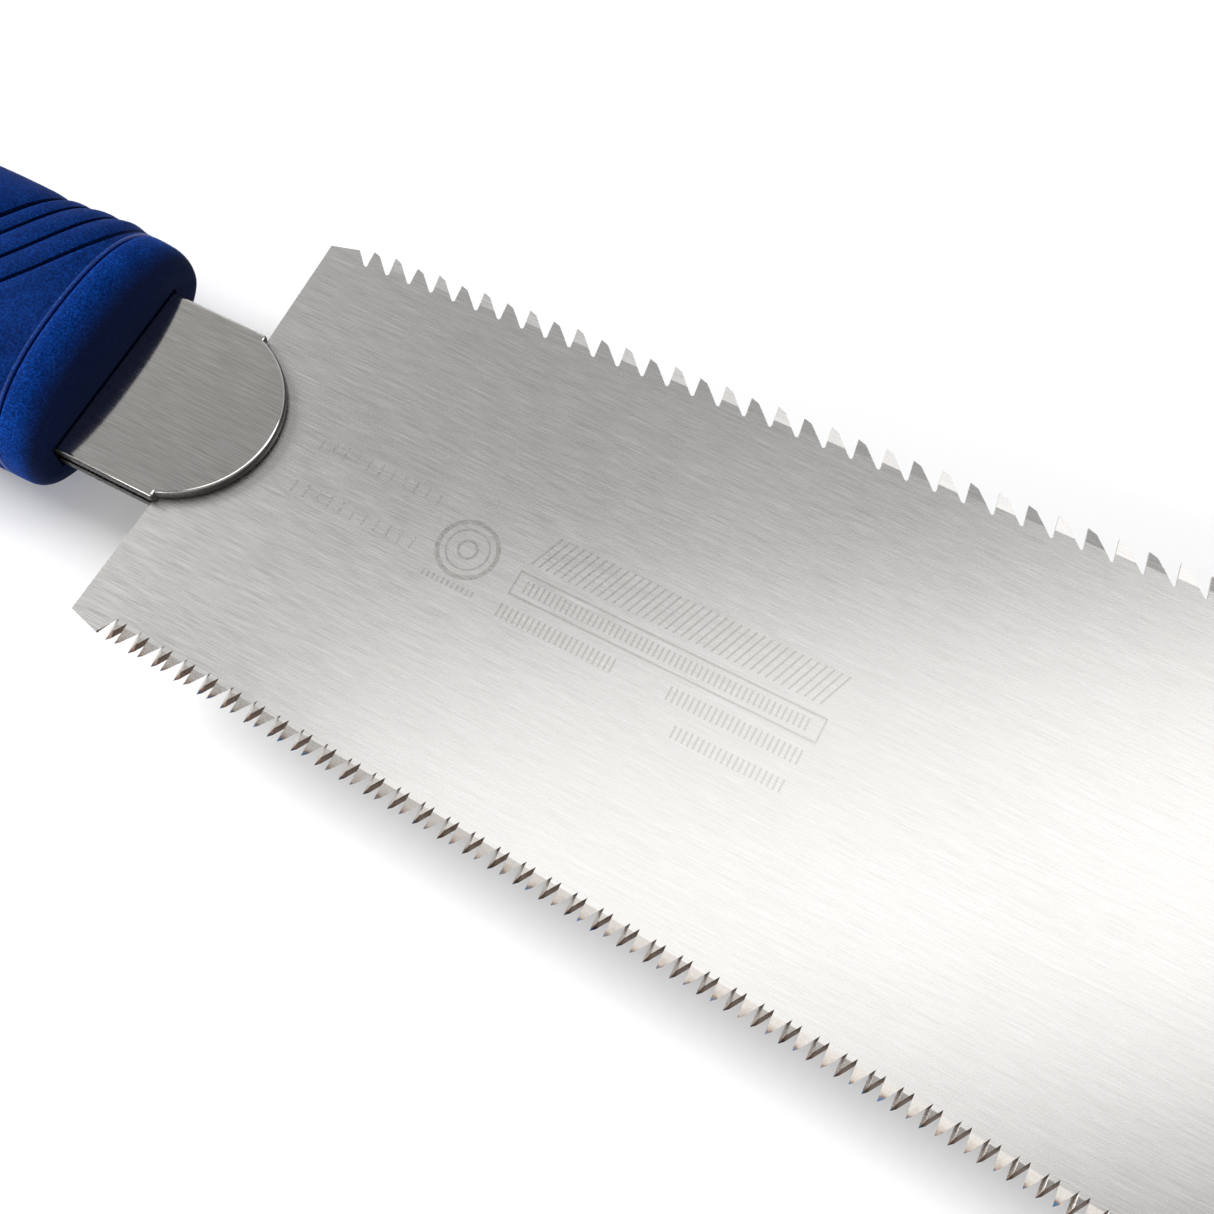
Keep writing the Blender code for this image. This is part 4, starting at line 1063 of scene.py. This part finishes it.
def build_cap():
    width = smooth_value(HALF_WIDTHS, BUTT_ROUND_START)
    height = smooth_value(HALF_HEIGHTS, BUTT_ROUND_START)
    rings = lip_rings(GRIP_END + GAP, 1) + [handle_ring(CAP_MIDDLE), handle_ring(BUTT_ROUND_START)]
    for step in range(1, BUTT_STEPS + 1):
        angle = pi / 2 * step / BUTT_STEPS
        share = cos(angle)
        aft = BUTT_ROUND_START + (BUTT - BUTT_ROUND_START) * sin(angle)
        half_width = BUTT_FLAT_HALF_WIDTH + (width - BUTT_FLAT_HALF_WIDTH) * share
        half_height = BUTT_FLAT_HALF_HEIGHT + (height - BUTT_FLAT_HALF_HEIGHT) * share
        rings.append(ring(aft, half_width, half_height))
    cap = link("butt_cap_moulded", loft(rings))
    paint(cap, (RUBBER,))
    cut(cap, loft([
        ring(aft, TENON_HALF_WIDTH + GAP, TENON_HALF_HEIGHT + GAP)
        for aft in (GRIP_END - TENON_HALF_HEIGHT, TENON_END + GAP)
    ]))
    cut(cap, turned(hanging_hole_profile(), HANG_HOLE_AFT))
    stem = circle(CAP_SCREW_AFT, 0, CAP_SCREW_RADIUS + GAP)
    head = circle(CAP_SCREW_AFT, 0, CAP_SCREW_HEAD + GAP)
    cut(cap, prism(stem, -REST_HEIGHT, 0))
    cut(cap, prism(head, -2 * REST_HEIGHT, CAP_SCREW_SEAT))
    dress(cap, "handle", "butt_cap")


def hanging_hole_profile():
    """(radius, height) pairs of the hole, whose two mouths are rounded."""
    profile = []
    for end, face in ((-1, REST_HEIGHT), (1, smooth_value(HALF_HEIGHTS, HANG_HOLE_AFT))):
        mouth = []
        for step in range(MOUTH_STEPS + 1):
            angle = pi / 2 * step / MOUTH_STEPS
            radius = HANG_HOLE_RADIUS + HANG_HOLE_FLARE * (1 - cos(angle))
            mouth.append((radius, end * (face - HANG_HOLE_FLARE * (1 - sin(angle)))))
        reach = HANG_HOLE_RADIUS + MOUTH_REACH * HANG_HOLE_FLARE
        mouth.append((reach, end * (face + HANG_HOLE_FLARE)))
        profile += mouth[::end]
    return profile


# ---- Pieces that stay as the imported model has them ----

WELD_REACH = 0.000001


def smooth_facets(node):
    """Shades round faces smoothly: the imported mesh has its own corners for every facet."""
    node.data.shade_smooth()
    weld = node.modifiers.new("weld", "WELD")
    weld.merge_threshold = WELD_REACH
    split = node.modifiers.new("split", "EDGE_SPLIT")
    split.split_angle = SHARP


def keep_nodes():
    """Finishes for the pieces inside the handle, with their facets smoothed."""
    fasteners = "jaw_rivet", "jaw_anchor", "blade_stop_pin", "spring_rivet", "core_screw", "cap_screw"
    shown = (
        (JAW_STEEL, "jaw_rail"),
        (FASTENER_STEEL, fasteners),
        (SPRING_STEEL, "tang_spring"),
        (PLASTIC, "core_half"),
    )
    for name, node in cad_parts.items():
        for finish, start in shown:
            if name.startswith(start):
                node.data.materials.clear()
                paint(node, (finish,))
                smooth_facets(node)


# ---- Stage, light and camera ----

FLOOR_DROP = 0.0001              # the floor lies this far under the saw
# (name, place, target, size, radiance) of the two softboxes that face the saw
SOFTBOXES = (
    ("left_softbox", (-1.25, 0.12, 0.72), (0.0, 0, 0), (0.70, 0.60), 25.0),
    ("front_softbox", (0.05, -1.05, 0.62), (0.05, 0, 0), (1.2, 0.40), 4.5),
)
# The strip hangs level over the blade; its turn sets the way that the blade's sheen fades
STRIP_PLACE = (0.185, 0.199, 0.61)
STRIP_SIZE = (0.74, 0.254)
STRIP_RADIANCE = 1.42
STRIP_TURN = radians(32)
# (height on the sky, grey)
SKY_SHADES = ((0.05, 1.0), (0.28, 0.56), (0.75, 0.44), (0.97, 0.25))
CAMERA_SENSOR = 36
CAMERA_LENS = 47.91
CAMERA_PLACE = (0.082084, -0.059782, 0.158139)    # from the datum
CAMERA_RIGHT = (0.88371566, 0.46801282, -0.00325964)
CAMERA_UP = (-0.42883367, 0.81248703, 0.39492595)
CAMERA_NEAR = 0.01


def build_floor():
    shape = bmesh.new()
    bmesh.ops.create_circle(shape, cap_ends=True, radius=FLOOR_RADIUS, segments=64)
    mesh = bpy.data.meshes.new("floor")
    shape.to_mesh(mesh)
    shape.free()
    floor = bpy.data.objects.new("floor", mesh)
    floor.location.z = -FLOOR_DROP
    mesh.materials.append(floor_finish().material)
    bpy.context.scene.collection.objects.link(floor)


def build_world():
    """White at the horizon, grey above."""
    world = bpy.data.worlds.new("studio")
    world.use_nodes = True
    tree = world.node_tree
    place = tree.nodes.new("ShaderNodeTexCoord")
    axes = tree.nodes.new("ShaderNodeSeparateXYZ")
    ramp = tree.nodes.new("ShaderNodeValToRGB")
    tree.links.new(place.outputs["Generated"], axes.inputs[0])
    tree.links.new(axes.outputs["Z"], ramp.inputs["Fac"])
    tree.links.new(ramp.outputs["Color"], tree.nodes["Background"].inputs["Color"])
    points = ramp.color_ramp.elements
    while len(points) < len(SKY_SHADES):
        points.new(1.0)
    for point, (height, shade) in zip(points, SKY_SHADES):
        point.position = height
        point.color = (shade, shade, shade, 1)
    bpy.context.scene.world = world


def area_light(name, place, target, size, radiance):
    """A softbox of a given radiance that faces a target."""
    data = bpy.data.lights.new(name, "AREA")
    data.shape = "RECTANGLE"
    data.size, data.size_y = size
    data.energy = radiance * pi * size[0] * size[1]
    made = bpy.data.objects.new(name, data)
    bpy.context.scene.collection.objects.link(made)
    made.location = place
    made.rotation_euler = (Vector(target) - Vector(place)).to_track_quat("-Z", "Y").to_euler()
    return made


def build_lights():
    below = (*STRIP_PLACE[:2], 0)
    strip = area_light("strip_softbox", STRIP_PLACE, below, STRIP_SIZE, STRIP_RADIANCE)
    strip.rotation_euler = (0, 0, STRIP_TURN)
    for softbox in SOFTBOXES:
        area_light(*softbox)


def build_camera():
    data = bpy.data.cameras.new("camera")
    data.sensor_width = CAMERA_SENSOR
    data.lens = CAMERA_LENS
    data.clip_start = CAMERA_NEAR
    camera = bpy.data.objects.new("camera", data)
    right, up = Vector(CAMERA_RIGHT), Vector(CAMERA_UP)
    turn = Matrix((right, up, right.cross(up))).transposed().to_4x4()
    camera.matrix_world = Matrix.Translation(DATUM + Vector(CAMERA_PLACE)) @ turn
    bpy.context.scene.collection.objects.link(camera)
    bpy.context.scene.camera = camera


build_camera()
build_world()
build_lights()
build_floor()
build_blade()
build_marks()
build_plate("jaw_plate_top_pressed", "jaw_plate_upper", 1)
build_plate("jaw_plate_under_pressed", "jaw_plate_lower", -1)
build_grip()
build_collar()
build_cap()
keep_nodes()
bpy.context.scene.view_settings.view_transform = "Standard"
